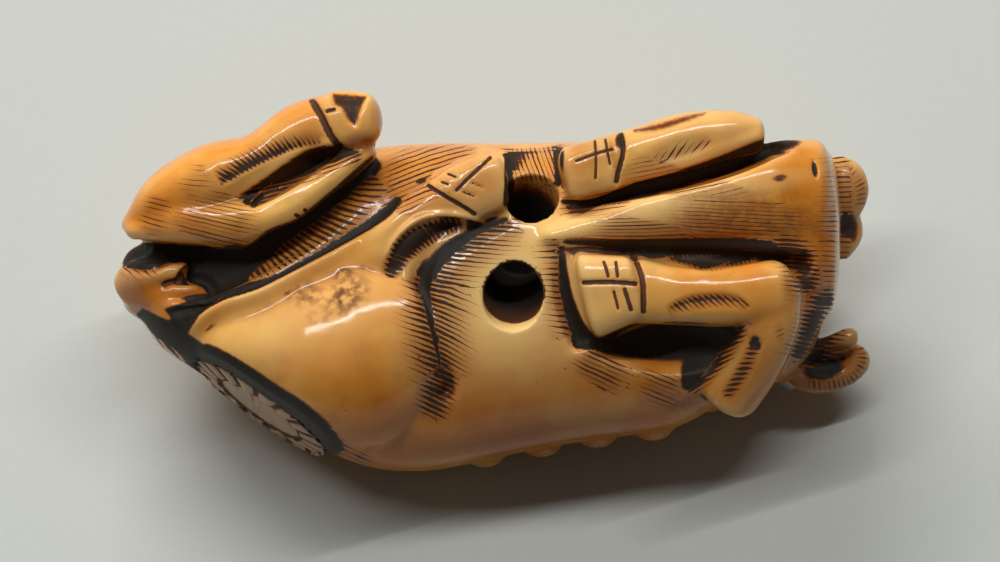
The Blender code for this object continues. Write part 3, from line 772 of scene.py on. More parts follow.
@dataclass(frozen=True)
class Tail:
    """The tail over the rump and its tuft, two tongues between the haunches."""

    upper: Limb = Limb(
        (
            (-29.0, -0.2, 0.6, 1.6, 1.6), (-27.2, 0.5, 2.2, 1.9, 2.0), (-25.4, 1.0, 3.0, 1.3, 1.8),
            (-24.4, 1.4, 3.3, 0.5, 1.2),
        ),
        caps=(0.8, 0.4),
        squareness=2.0,
    )
    lower: Limb = Limb(
        (
            (-28.6, -0.6, 0.8, 1.4, 1.6), (-26.4, -0.8, 2.4, 1.5, 1.8), (-24.4, -0.7, 3.2, 1.0, 1.6),
            (-23.4, -0.6, 3.5, 0.4, 1.1),
        ),
        caps=(0.8, 0.4),
        squareness=2.0,
    )

    def shapes(self) -> list[Shape]:
        """The solid forms of the tail."""
        return [self.upper, self.lower]

    def marks(self) -> list[Mark]:
        """The dark hollow round the tail and the combed hair between the haunches."""
        haunch_edge = (
            (-24.4, -3.9), (-23.2, -2.4), (-21.3, -1.3), (-18.6, -0.4), (-15.6, 1.1), (-12.2, 2.9),
            (-8.9, 4.8), (-7.2, 6.4),
        )
        rises = (1.4, 1.9, 1.9, 0.6, 0.4, 0.6, 0.8, 0.9)
        tuft = (
            (-25.96, -2.11), (-24.55, -1.82), (-23.52, -1.54), (-22.96, -1.26), (-22.65, -0.7),
            (-23.3, -0.1), (-25.1, -0.05), (-24.94, 0.7), (-24.5, 1.2), (-24.05, 1.65), (-25.0, 1.81),
            (-25.91, 1.47), (-26.6, 0.95), (-27.6, 0.73), (-28.6, 0.8), (-29.7, 1.24),
        )
        rump = ((-30.6, 0.7), (-30.4, -0.6), (-29.6, -1.8), (-28.6, -2.7), (-27.3, -3.3), (-26.0, -3.2))
        return [
            Spot((-29.0, -0.9), (1.8, 2.8), ruddy_and_shade=0.8, soft=0.8),
            Spot((-26.4, -0.2), (3.4, 1.6), ruddy_and_shade=0.5, soft=1.0),
            Ledge(tuple(reversed(haunch_edge)), rise=0.22, sink=0.3, rise_reach=1.4, sink_reach=2.4),
            Band(tuple((*p, up, 0.0) for p, up in zip(haunch_edge, rises)), edges=(1.0, 0.4)),
            Spot((-21.3, 1.1), (2.9, 1.8), turn=15.0, strength=1.2, soft=0.5),
            Spot((-28.2, 1.9), (2.2, 1.0), turn=-4.0, strength=1.2, soft=0.6),
            Band(
                ((-20.0, 0.9, 1.3, 1.2, -52.0), (-17.6, 1.9, 1.3, 1.2, -44.0),
                 (-15.4, 3.0, 1.3, 1.2, -34.0), (-13.1, 4.5, 1.3, 1.3, -24.0),
                 (-11.0, 6.2, 1.3, 1.3, -12.0), (-9.2, 8.2, 1.4, 1.4, 2.0)),
                strength=1.0, edges=(0.9, 0.9), pitch=0.46,
            ),
            Band(
                ((-30.4, -2.4, 1.0, 1.4, -62.0), (-28.6, -4.2, 1.2, 1.8, -60.0),
                 (-26.2, -5.6, 1.5, 2.2, -52.0), (-23.6, -7.4, 1.2, 2.2, -46.0)),
                strength=1.25, edges=(1.8, 0.8), pitch=0.42,
            ),
            Patch((*tuft, *rump), soft=0.45),
            Patch(
                ((-25.7, -3.06), (-26.8, -2.58), (-27.9, -2.03), (-28.8, -2.74), (-27.4, -4.09),
                 (-25.4, -5.45), (-23.5, -6.56), (-23.0, -4.89), (-24.3, -4.0), (-23.2, -2.27),
                 (-22.3, -0.9), (-23.2, -0.9), (-24.5, -1.6), (-26.0, -2.1), (-25.5, -2.74)),
                strength=1.25, soft=0.5,
            ),
            Ledge(tuft, rise=0.05, sink=0.35, rise_reach=0.9, sink_reach=1.0),
            Band(((-29.8, 1.5, 0.4, 0.8, -38.0), (-28.0, 1.2, 0.4, 0.8, -38.0),
                  (-26.6, 1.2, 0.3, 0.4, -34.0)),
                 strength=0.9, edges=(0.4, 1.3), pitch=0.42, ink=0.8),
            Score(((-26.4, -0.25), (-25.6, 0.05), (-24.9, 0.1)), width=0.4, depth=0.3),
        ]


@dataclass(frozen=True)
class UpperForeleg:
    """The foreleg at the far edge of the belly, from its knee to its square hoof."""

    leg: Limb = Limb(
        (
            (8.5, 9.4, 5.0, 2.1, 2.9), (11.5, 10.1, 5.2, 2.2, 2.9), (14.6, 10.9, 5.0, 2.4, 3.0),
            (18.0, 11.6, 4.6, 2.0, 3.0), (20.2, 11.6, 4.2, 1.5, 2.6),
        ),
        caps=(0.6, 0.8),
        squareness=2.6,
    )
    hoof: Limb = Limb(
        ((5.9, 8.6, 5.2, 2.1, 3.2), (9.0, 9.4, 5.3, 2.2, 3.3)), caps=(0.9, 0.7), squareness=3.6
    )

    def shapes(self) -> list[Shape]:
        """The solid forms of the leg."""
        return [self.leg, self.hoof]

    def marks(self) -> list[Mark]:
        """The groove below the leg, its tufts and the hoof's cleft."""
        edge = (
            (5.0, 6.5), (7.4, 6.5), (9.4, 7.2), (11.2, 7.9), (13.5, 8.5), (17.1, 9.7), (19.6, 10.7),
            (21.4, 11.4),
        )
        depths = (0.25, 0.45, 1.0, 1.0, 1.1, 1.2, 1.4, 1.3)
        return [
            Spot((7.6, 10.6), (2.4, 1.6), turn=12.0, ruddy_and_shade=0.5, soft=1.0),
            Spot((15.5, 11.8), (6.5, 2.2), turn=14.0, pale=0.5, soft=1.2),
            Ledge(edge, rise=0.2, sink=0.4, rise_reach=1.2, sink_reach=1.8),
            Band(tuple((*place, 0.0, deep) for place, deep in zip(edge, depths)), edges=(0.45, 0.9)),
            Band(((20.8, 10.6, 0.5, 0.6), (23.0, 11.2, 0.8, 0.6), (24.4, 11.9, 0.5, 0.3)),
                 edges=(0.6, 0.8)),
            Band(((10.6, 11.9, 0.1, 0.15), (12.8, 12.2, 0.25, 0.2), (14.7, 12.8, 0.2, 0.2),
                  (16.6, 13.4, 0.05, 0.1)),
                 strength=0.8, edges=(1.0, 0.8), ink=0.3, depth=0.15),
            Spot((14.4, 10.3), (2.6, 0.9), turn=18.0, pale=0.8, soft=0.8, depth=0.12),
            Band(((12.3, 9.6, 0.3, 0.3, 56.0), (14.0, 10.1, 0.6, 0.4, 54.0), (15.4, 10.5, 0.6, 0.4, 52.0),
                  (16.8, 11.0, 0.3, 0.2, 50.0)),
                 strength=0.72, edges=(0.7, 0.5), pitch=0.44, ink=0.3, depth=0.08),
            Spot((13.0, 9.5), (0.5, 0.25), turn=30.0, strength=0.7, soft=1.4, ink=0.2),
            Score(((9.75, 12.0), (9.95, 10.4), (9.6, 8.8), (9.3, 7.6)), width=0.32, depth=0.25),
            Spot((9.7, 11.1), (0.35, 0.6), strength=1.0, soft=1.0, ink=0.8),
            Score(((6.0, 9.4), (7.9, 10.1), (9.4, 10.5)), width=0.2, depth=0.1, group=1),
            Score(((7.7, 11.5), (7.8, 9.5), (7.75, 7.9)), width=0.18, group=2),
            Score(((8.5, 11.5), (8.7, 10.3), (8.95, 9.0)), width=0.18, group=0),
        ]


@dataclass(frozen=True)
class LowerForeleg:
    """The other foreleg, bent like an L at its knee, with the deep recess behind it."""

    cannon: Limb = Limb(
        (
            (11.0, -0.6, 7.0, 2.6, 2.7), (14.0, -1.0, 7.2, 2.3, 2.7), (17.5, -1.1, 7.2, 2.3, 2.8),
            (21.6, -0.8, 6.8, 2.6, 3.0),
        ),
        caps=(0.6, 2.0),
        squareness=2.8,
    )
    forearm: Limb = Limb(
        (
            (22.1, -0.6, 6.0, 2.0, 3.4), (21.5, -3.2, 5.6, 2.3, 3.8), (20.3, -5.9, 4.4, 2.4, 3.8),
            (18.7, -8.2, 3.0, 2.5, 3.6),
        ),
        caps=(1.8, 1.6),
        squareness=2.6,
    )
    hoof: Limb = Limb(
        ((7.3, -1.0, 6.9, 3.4, 2.9), (10.7, -0.4, 7.2, 2.6, 3.1)),
        caps=(0.8, 0.7),
        squareness=4.0,
        facing=(0.97, 0.24, 0.0),
    )

    def shapes(self) -> list[Shape]:
        """The solid forms of the leg."""
        return [self.cannon, self.forearm, self.hoof]

    def marks(self) -> list[Mark]:
        """The hoof's cleft, the leg's tufts, the dark grooves and recess round the leg, with painted shade
        in the recess and on the forearm.
        """
        return [
            Band(
                ((5.2, 3.2, 0.1, 0.1), (8.4, 3.1, 0.3, 0.3), (12.0, 3.0, 0.5, 0.7), (16.0, 2.8, 0.7, 0.8),
                 (20.0, 2.6, 0.9, 0.7), (23.2, 2.2, 0.8, 0.6)),
                edges=(1.1, 0.5),
            ),
            Band(((5.1, 2.9, 0.2, 0.3), (5.2, 0.6, 0.4, 0.5), (5.6, -1.5, 0.5, 0.6), (6.3, -3.6, 0.7, 0.6),
                  (7.4, -5.0, 0.7, 0.4)),
                 edges=(0.45, 0.8)),
            Band(((4.8, 3.4, 0.2, 1.4, 4.0), (4.9, 1.0, 0.2, 1.2, 0.0), (5.2, -1.5, 0.2, 1.2, -6.0),
                  (5.9, -4.2, 0.2, 1.2, -12.0)),
                 strength=0.92, edges=(0.4, 2.2), pitch=0.46, ink=0.8),
            # the recess behind the leg drawn near black: stain, and painted shadow under the leg towards
            # the hoof
            Band(((6.2, -4.5, 0.2, 0.5), (8.5, -4.9, 0.3, 0.6), (11.5, -4.4, 0.9, 1.5),
                  (14.0, -4.3, 1.2, 1.7), (17.0, -4.5, 1.2, 1.3), (19.0, -4.2, 0.9, 0.5)),
                 strength=1.3, edges=(0.5, 0.8)),
            Band(((16.4, -4.5, 1.6, 1.0), (15.6, -6.5, 1.1, 0.9), (15.0, -8.4, 0.5, 0.5)),
                 strength=1.3, edges=(0.6, 0.7)),
            Band(((19.4, -3.4, 0.3, 0.6, 20.0), (18.0, -5.6, 0.4, 0.6, 24.0), (16.4, -7.6, 0.3, 0.5, 30.0),
                  (15.2, -8.8, 0.2, 0.4, 34.0)),
                 strength=1.45, edges=(0.9, 0.6), pitch=0.34),
            Band(((7.0, -7.6, 1.2, 2.6, -26.0), (8.4, -5.4, 1.8, 3.2, -24.0)),
                 strength=0.82, edges=(1.8, 2.6), pitch=0.36, ink=0.6),
            Band(((12.6, -9.8, 1.2, 1.6, -22.0), (13.2, -7.0, 2.2, 1.6, -22.0)),
                 strength=0.7, edges=(2.0, 1.6), pitch=0.36, ink=0.35),
            Spot((15.0, -9.3), (2.4, 0.9), turn=-14.0, ruddy_and_shade=0.7, wear=0.5, soft=1.2),
            Ledge(((21.0, 2.0), (18.6, 1.75), (16.2, 1.0), (14.6, 1.6), (13.4, 2.0)),
                  rise=0.12, sink=0.22, rise_reach=1.0, sink_reach=0.9),
            Band(((13.4, 1.9, 0.2, 0.1, -65.0), (15.0, 1.9, 0.4, 0.5, -65.0), (16.6, 1.9, 0.4, 0.9, -65.0),
                  (18.4, 1.9, 0.4, 0.6, -65.0), (20.6, 2.0, 0.2, 0.1, -65.0)),
                 strength=1.6, edges=(0.7, 0.4), pitch=0.34),
            Band(((13.4, -2.1, 0.1, 0.1, -42.0), (14.7, -1.65, 0.35, 0.3, -42.0),
                  (16.8, -1.25, 0.3, 0.4, -42.0), (18.7, -1.4, 0.25, 0.3, -42.0),
                  (19.7, -1.95, 0.1, 0.1, -42.0)),
                 strength=1.5, edges=(0.6, 1.1), pitch=0.34, depth=0.2, ink=0.9),
            Band(((21.9, -2.9, 0.4, 0.4, 24.0), (22.3, -4.6, 0.4, 0.4, 24.0)),
                 strength=0.5, edges=(0.5, 0.5), pitch=0.4, ink=0.3),
            Band(((20.3, -4.3, 0.45, 0.45, 0.0), (19.9, -5.6, 0.45, 0.45, 0.0), (19.1, -7.2, 0.5, 0.5, 4.0),
                  (18.0, -9.0, 0.4, 0.4, 8.0)),
                 strength=1.1, edges=(0.6, 0.6), pitch=0.4, depth=0.08, ink=0.8),
            Spot((20.2, -4.8), (0.45, 0.6), strength=1.2, soft=0.9, ink=0.9, depth=0.15),
            # painted shade: the forearm drawn darker and redder where it turns from the light
            Spot((20.5, -5.6), (2.8, 6.4), turn=-24.0, ruddy_and_shade=0.6, soft=1.2),
            Spot((15.0, -0.6), (9.5, 2.2), ruddy_and_shade=0.3, soft=1.4),
            Score(((10.7, 2.3), (11.4, 0.2), (11.5, -2.6)), width=0.36, depth=0.2),
            Score(((6.5, 0.0), (8.8, 0.05), (11.2, -0.1)), width=0.3, depth=0.18, group=1),
            Score(((8.3, 1.9), (8.6, 1.0), (8.8, 0.2)), width=0.22, group=0),
            Score(((9.3, 1.9), (9.4, 1.0), (9.5, 0.2)), width=0.22, group=2),
            Score(((9.1, -0.4), (9.35, -1.4), (9.6, -2.3)), width=0.18, group=2),
            Score(((9.9, -0.2), (10.3, -1.4), (10.6, -2.4)), width=0.28, group=0),
        ]


@dataclass(frozen=True)
class Head:
    """The head on the hidden side, turned back along the flank, with its horns and ears."""

    skull: Limb = Limb(
        (
            (24.0, 0.6, -7.0, 4.4, 3.6), (21.0, 0.3, -8.6, 5.2, 4.4), (16.5, -0.2, -9.5, 4.3, 4.0),
            (11.5, -0.8, -10.0, 3.4, 3.4), (7.5, -1.2, -10.0, 3.6, 3.3),
        ),
        caps=(1.6, 1.8),
    )
    crown: Ball = Ball((22.0, 2.4, -4.0), (4.6, 6.8, 5.2))
    lower_horn: Limb = Limb(
        (
            (20.5, -7.2, -5.2, 1.0, 1.2), (23.5, -6.7, -4.6, 1.1, 1.2), (26.3, -5.4, -3.9, 1.05, 1.1),
            (28.2, -4.3, -3.5, 0.85, 0.9),
        ),
        caps=(0.8, 0.8),
        squareness=2.0,
    )
    upper_horn: Limb = Limb(
        (
            (25.5, 7.0, -6.4, 1.0, 1.1), (27.6, 5.6, -5.8, 1.2, 1.2), (28.3, 4.0, -5.4, 1.1, 1.1),
            (27.7, 2.5, -5.2, 0.8, 0.9),
        ),
        caps=(0.8, 0.7),
        squareness=2.0,
    )
    ears: tuple[Ball, ...] = (
        Ball((26.6, -6.7, -5.6), (3.5, 2.1, 1.7), turn=(0.0, 0.0, 14.0)),
        Ball((22.8, -6.4, -6.6), (2.6, 1.4, 1.6), turn=(0.0, 0.0, 10.0)),
        Ball((27.3, 7.3, -4.6), (2.5, 2.9, 1.6), turn=(0.0, 0.0, -12.0)),
    )
    ear_cup: Ball = Ball((26.6, -6.3, -3.2), (2.6, 1.3, 1.6), turn=(0.0, 0.0, 14.0))
    eye_place: tuple[float, float, float] = (18.2, 3.7, -11.2)
    nostril_place: tuple[float, float, float] = (6.8, 2.0, -11.8)
    muzzle_middle: float = -1.2

    def features(self) -> list[Ball]:
        """The eyes and the nostrils' wings, one on each side of the face."""
        x, y, z = self.eye_place
        nose_x, nose_y, nose_z = self.nostril_place
        found = []
        for side in (-1.0, 1.0):
            found.append(Ball((x, side * y, z), (1.5, 1.0, 1.3)))
            found.append(Ball((nose_x, self.muzzle_middle + side * nose_y, nose_z), (1.3, 1.1, 1.2)))
        return found

    def shapes(self) -> list[Shape]:
        """The solid forms of the head."""
        return [self.skull, self.crown, self.lower_horn, self.upper_horn, *self.ears, *self.features()]

    def marks(self) -> list[Mark]:
        """The ears' ribs and dark cups, and the face and coat of the hidden side."""
        found: list[Mark] = [
            Spot((26.6, -6.0), (4.6, 3.2), turn=12.0, ruddy_and_shade=1.0, soft=0.5),
            Spot((28.9, 5.6), (2.0, 5.2), ruddy_and_shade=0.45, soft=0.35),
            Spot((26.2, -6.9), (1.5, 0.8), turn=12.0, strength=1.1, soft=0.8),
            Band(
                (
                    (24.6, -8.2, 0.7, 0.3, -78.0), (26.4, -8.3, 0.7, 0.3, -80.0),
                    (28.4, -7.9, 0.7, 0.3, -58.0), (29.4, -6.4, 0.7, 0.3, -20.0),
                    (29.2, -5.0, 0.6, 0.3, 20.0),
                ),
                strength=0.7, edges=(0.8, 0.5), pitch=0.4, ink=0.7,
            ),
            Band(
                ((27.6, 9.4, 0.5, 0.8, 60.0), (28.9, 8.0, 0.5, 0.8, 30.0), (29.3, 6.0, 0.5, 0.8, 5.0)),
                strength=0.6, edges=(0.5, 1.0), pitch=0.36, ink=0.6,
            ),
            Spot((28.0, 4.6), (0.8, 1.4), turn=10.0, strength=0.9, soft=0.9, ink=0.6),
        ]
        for side in (-1.0, 1.0):
            found += self.face(side)
        return found

    def face(self, side: float) -> list[Mark]:
        """The eye, the nostril and the coat on one side of the face.

        Args:
            side: 1 for the upper side of the head in the view, and -1 for the lower.

        Returns:
            The marks of that side.
        """
        x, y, _ = self.eye_place
        nose_x, nose_y, _ = self.nostril_place
        nose_y = self.muzzle_middle + side * nose_y
        eye_y = side * y
        front, back = (x + 1.7, eye_y), (x - 1.4, eye_y + side * 0.2)
        lids = ((x + 0.4, eye_y + side * 0.85), (x + 0.2, eye_y - side * 0.85))
        return [
            Spot((x, eye_y), (0.62, 0.5), strength=1.2, soft=0.3, side=Side.BACK),
            *(Score((front, lid, back), width=0.3, group=k, side=Side.BACK) for k, lid in enumerate(lids)),
            Spot((nose_x - 0.3, nose_y), (0.6, 0.35), strength=1.2, soft=0.4, depth=0.3, side=Side.BACK),
        ]


@dataclass(frozen=True)
class Medallion:
    """An oval plaque on the rump, a ring of petals round a plain middle, let into a flat."""

    centre: tuple[float, float, float] = (-18.6, -9.9, 1.6)
    normal: tuple[float, float, float] = (-0.56, -0.775, 0.29)
    axis: tuple[float, float, float] = (0.81, -0.585, 0.0)
    radii: tuple[float, float] = (6.3, 3.8)
    depth: float = 0.7
    pocket_margin: float = 0.25
    flat_centre: tuple[float, float] = (0.5, 2.8)
    flat_radii: tuple[float, float] = (7.1, 7.5)
    cut_reach: float = 3.0
    petals: int = 16
    swell: float = 0.25
    petal_fall: float = 0.30
    groove: float = 0.25
    dish: float = 0.22
    ring: tuple[float, float] = (0.62, 1.0)

    def frame(self) -> Matrix:
        """Where the medallion is: its own X along the oval, its own Z out of the rump."""
        out = Vector(self.normal).normalized()
        along = Vector(self.axis).normalized()
        turn = Matrix((along, out.cross(along), out)).transposed().to_4x4()
        return Matrix.Translation(self.centre) @ turn

    def oval(
        self,
        bm: bmesh.types.BMesh,
        centre: tuple[float, float],
        radii: tuple[float, float],
        low: float,
        high: float,
    ) -> None:
        """Adds an oval block to a bmesh, along the medallion's own axes.

        Args:
            bm: The bmesh that gets the block.
            centre: The oval's middle in X and Y.
            radii: Its two radii.
            low: Where the block starts along Z.
            high: Where it ends.
        """
        matrix = self.frame() @ Matrix.Translation((*centre, (low + high) / 2))
        matrix = matrix @ Matrix.Diagonal((*radii, high - low, 1.0))
        bmesh.ops.create_cone(
            bm, cap_ends=True, segments=160, radius1=1.0, radius2=1.0, depth=1.0, matrix=matrix
        )

    def grown(self, margin: float) -> tuple[float, float]:
        """The plaque's radii, grown by a margin."""
        return self.radii[0] + margin, self.radii[1] + margin

    def flat(self, bm: bmesh.types.BMesh) -> None:
        """The block that cuts the flat, which runs out through the haunch above the medallion."""
        self.oval(bm, self.flat_centre, self.flat_radii, 0.0, self.cut_reach)

    def pocket(self, bm: bmesh.types.BMesh) -> None:
        """The block that cuts the pocket of the plaque."""
        self.oval(bm, (0.0, 0.0), self.grown(self.pocket_margin), -self.depth, self.cut_reach)

    def plaque(self, bm: bmesh.types.BMesh) -> None:
        """The plaque itself, before its petals are cut."""
        self.oval(bm, (0.0, 0.0), self.grown(-0.05), -self.depth - 0.5, self.swell)

    def lay(self, surface: Surface, layers: Layers) -> None:
        """Carves the petals, darkens the flat round the plaque with stain and painted shade, and hands
        their pattern to the material.
        """
        frame = np.array(self.frame())
        own = (surface.places - frame[:3, 3]) @ frame[:3, :3]
        spread = np.hypot(own[:, 0] / self.radii[0], own[:, 1] / self.radii[1])
        angle = np.arctan2(own[:, 1] / self.radii[1], own[:, 0] / self.radii[0])
        count = self.petals * angle / (2 * math.pi)
        near = (np.abs(own[:, 2] + 0.3) < 1.1).astype(float) * (1.0 - smoothstep(1.12, 1.2, spread))
        parted = 2.0 * np.abs(count - np.round(count))
        low, high = self.ring
        outward = np.clip((spread - low) / (high - low), 0.0, 1.0)
        petal = -self.petal_fall * outward**1.5 - self.groove * parted**2
        on_ring = smoothstep(low - 0.05, low + 0.02, spread)
        top = near * smoothstep(0.4, 0.8, surface.normals @ frame[:3, 2]) * (spread < 1.0)
        layers.height += top * (on_ring * petal - (1.0 - on_ring) * self.dish)
        # the flat round the plaque drawn black: stain, and painted shade of the pocket's wall
        shift = (own[:, :2] - np.array(self.flat_centre)) / np.array(self.flat_radii)
        flat = smoothstep(1.03, 0.97, np.hypot(*shift.T)) * smoothstep(0.8, 0.2, np.abs(own[:, 2]))
        flat *= smoothstep(0.98, 1.02, spread)
        layers.stain = np.maximum(layers.stain * (1.0 - near * (spread < 1.0)), 1.2 * flat)
        layers.ink = np.where(flat > 0.3, 1.0, layers.ink)
        layers.hair *= 1.0 - flat
        layers.plaque[:, 0] = near
        layers.plaque[:, 1] = spread
        layers.plaque[:, 2] = parted

    def marks(self) -> list[Mark]:
        """The hair that fringes the medallion towards the belly."""
        return [
            Band(((-14.8, -12.2, 1.0, 2.0, -30.0), (-12.4, -13.6, 1.2, 2.0, -28.0),
                  (-10.0, -14.4, 0.8, 1.8, -24.0)),
                 strength=1.1, edges=(1.6, 1.0), end=1.8, pitch=0.36),
        ]


@dataclass(frozen=True)
class CordPassage:
    """The two bores that the cord runs through, which meet inside the belly."""

    meeting: tuple[float, float, float] = (1.9, 2.6, 0.6)
    belly_mouth: tuple[float, float, float] = (1.3, -1.3, 8.0)
    hoof_mouth: tuple[float, float, float] = (2.9, 7.2, 6.6)
    lit_depths: tuple[float, float] = (0.0, 1.8)
    reach: float = 0.54
    bottom: float = -12.0
    # how dark the painted shade inside the bores is, just below a mouth and deeper down
    shallow_shade: float = 0.40
    deep_shade: float = 0.7
    ink_depths: tuple[float, float] = (0.6, 3.6)

    def bores(self) -> list[Bore]:
        """The bores, each with its own mouth."""
        return [
            Bore(self.belly_mouth, self.meeting, CORD_HOLE_DIAMETER),
            Bore(self.hoof_mouth, self.meeting, CORD_MOUTH_WIDTH),
        ]

    def lay(self, surface: Surface, layers: Layers) -> None:
        """Paints shade inside the bores, darker deeper below their mouths."""
        for bore, lit in zip(self.bores(), self.lit_depths):
            mouth, meeting = np.array(bore.mouth), np.array(bore.meeting)
            out = (mouth - meeting) / np.linalg.norm(mouth - meeting)
            away = surface.places - mouth
            along = away @ out
            off = np.linalg.norm(away - along[:, None] * out, axis=1)
            inside = (off < self.reach * bore.diameter).astype(float) * (along > self.bottom)
            # painted shade: the walls of the bores drawn dark where light does not reach
            shallow = self.shallow_shade * smoothstep(0.2, 0.8, -along)
            deep = self.deep_shade * smoothstep(lit, 1.0 + 2.0 * lit, -along)
            stain = inside * (shallow + deep)
            leads = stain > layers.stain
            layers.stain[leads] = stain[leads]
            layers.ink[leads] = smoothstep(*self.ink_depths, -along[leads])
            layers.hair[leads] = 0.0

    def marks(self) -> list[Mark]:
        """The pale ring that the cord has polished round the belly's mouth."""
        x, y, _ = self.belly_mouth
        return [Spot((x, y), (3.6, 3.6), pale=1.0, soft=0.6)]


@dataclass(frozen=True)
class Hollows:
    """The cuts between the limbs, which are taken away from the trunk before the legs are joined."""

    tail_gap: Limb = Limb(
        (
            (-30.0, 1.6, 4.2, 2.4, 1.8), (-25.0, 1.0, 5.0, 2.6, 2.8), (-20.5, 1.3, 7.2, 1.6, 3.2),
            (-15.0, 4.0, 8.2, 1.3, 3.2), (-10.0, 7.6, 8.4, 1.3, 2.8),
        ),
        squareness=2.0,
    )
    crease: Limb = Limb(
        (
            (-1.0, 4.6, 8.8, 0.9, 1.6), (-4.4, 3.6, 9.2, 1.4, 2.4), (-6.0, 0.6, 9.4, 1.2, 2.6),
            (-5.2, -3.4, 8.6, 1.0, 2.0), (-4.0, -8.6, 6.2, 0.8, 0.9),
        ),
        caps=(0.6, 0.6),
        squareness=2.0,
    )
    below_upper_foreleg: Limb = Limb(
        (
            (5.6, 6.3, 8.6, 0.5, 2.6), (12.0, 7.4, 8.4, 0.7, 3.0), (18.0, 9.0, 7.6, 0.8, 3.0),
            (22.6, 11.0, 5.4, 0.9, 2.6),
        ),
        caps=(0.5, 0.5),
        squareness=2.0,
    )
    above_lower_foreleg: Limb = Limb(
        (
            (6.5, 2.4, 9.4, 0.6, 2.4), (12.0, 2.3, 9.4, 0.8, 3.0), (18.0, 2.0, 9.0, 0.9, 3.2),
            (24.6, 1.4, 7.4, 0.9, 3.0),
        ),
        caps=(0.5, 0.5),
        squareness=2.0,
    )
    beside_hoof: Limb = Limb(
        ((4.9, 1.6, 8.6, 0.7, 1.5), (5.3, -1.5, 8.6, 0.9, 2.0), (6.6, -5.0, 8.2, 0.9, 2.2)),
        caps=(0.5, 0.5),
        squareness=2.0,
    )
    recess: Ball = Ball((13.4, -5.0, 8.0), (6.8, 2.5, 3.6), turn=(0.0, 0.0, -8.0))

    def shapes(self) -> list[Shape]:
        """Every cut between the limbs."""
        return [
            self.tail_gap,
            self.crease,
            self.below_upper_foreleg,
            self.above_lower_foreleg,
            self.beside_hoof,
            self.recess,
        ]


class NodeBench:
    """A short way to lay out and join shader nodes."""

    def __init__(self, material: bpy.types.Material) -> None:
        """Clears the material's nodes and starts at the left."""
        material.use_nodes = True
        self.tree = material.node_tree
        self.tree.nodes.clear()
        self.column = 0

    def node(
        self, kind: str, inputs: dict[str | int, object] | None = None, **settings: object
    ) -> bpy.types.Node:
        """Adds a node.

        Args:
            kind: The node's type name.
            inputs: What each socket gets: another node's socket, or a plain value.
            **settings: The node's own settings.

        Returns:
            The new node.
        """
        made = self.tree.nodes.new(kind)
        made.location = (180.0 * (self.column % 24), -240.0 * (self.column // 24))
        self.column += 1
        for name, value in settings.items():
            setattr(made, name, value)
        for name, value in (inputs or {}).items():
            self.feed(made.inputs[name], value)
        return made

    def feed(self, socket: bpy.types.NodeSocket, value: object) -> None:
        """Joins another socket to this one, or sets its plain value."""
        if isinstance(value, bpy.types.NodeSocket):
            self.tree.links.new(value, socket)
        else:
            socket.default_value = value

    def math(self, operation: str, *values: object, clamp: bool = False) -> bpy.types.NodeSocket:
        """Adds a Math node over the values and returns what it gives."""
        inputs = dict(enumerate(values))
        return self.node("ShaderNodeMath", inputs, operation=operation, use_clamp=clamp).outputs[0]

    def ramp(self, value: object, low: float, high: float, to: tuple[float, float] = (0.0, 1.0)) -> object:
        """Rises smoothly between two values."""
        inputs = {"Value": value, "From Min": low, "From Max": high, "To Min": to[0], "To Max": to[1]}
        made = self.node("ShaderNodeMapRange", inputs, interpolation_type="SMOOTHSTEP")
        return made.outputs["Result"]

    def mix(self, share: object, under: object, over: object) -> bpy.types.NodeSocket:
        """Mixes two colours by a share."""
        made = self.node("ShaderNodeMix", data_type="RGBA")
        for socket, value in zip((made.inputs[0], made.inputs[6], made.inputs[7]), (share, under, over)):
            self.feed(socket, value)
        return made.outputs[2]

    def attribute(self, name: str) -> bpy.types.Node:
        """Reads one of the carving's layers."""
        return self.node("ShaderNodeAttribute", attribute_name=name, attribute_type="GEOMETRY")

    def split(self, name: str) -> tuple[bpy.types.NodeSocket, ...]:
        """Reads a layer of three numbers."""
        vector = self.attribute(name).outputs["Vector"]
        return tuple(self.node("ShaderNodeSeparateXYZ", {0: vector}).outputs)

    def noise(self, where: object, size: float, detail: float = 2.0) -> bpy.types.NodeSocket:
        """Adds a noise whose patches are about a size across, in units."""
        inputs = {"Vector": where, "Scale": 1.0 / (size * UNIT), "Detail": detail}
        return self.node("ShaderNodeTexNoise", inputs).outputs["Fac"]

    def output(self, shader: bpy.types.Node) -> None:
        """Gives the shader to the material's surface."""
        self.node("ShaderNodeOutputMaterial", {"Surface": shader.outputs[0]})


def srgb(red: int, green: int, blue: int) -> tuple[float, float, float, float]:
    """A colour given as a screen shows it, in the shader's linear terms."""
    linear = [
        c / 255 / 12.92 if c <= 10 else ((c / 255 + 0.055) / 1.055) ** 2.4 for c in (red, green, blue)
    ]
    return (*linear, 1.0)


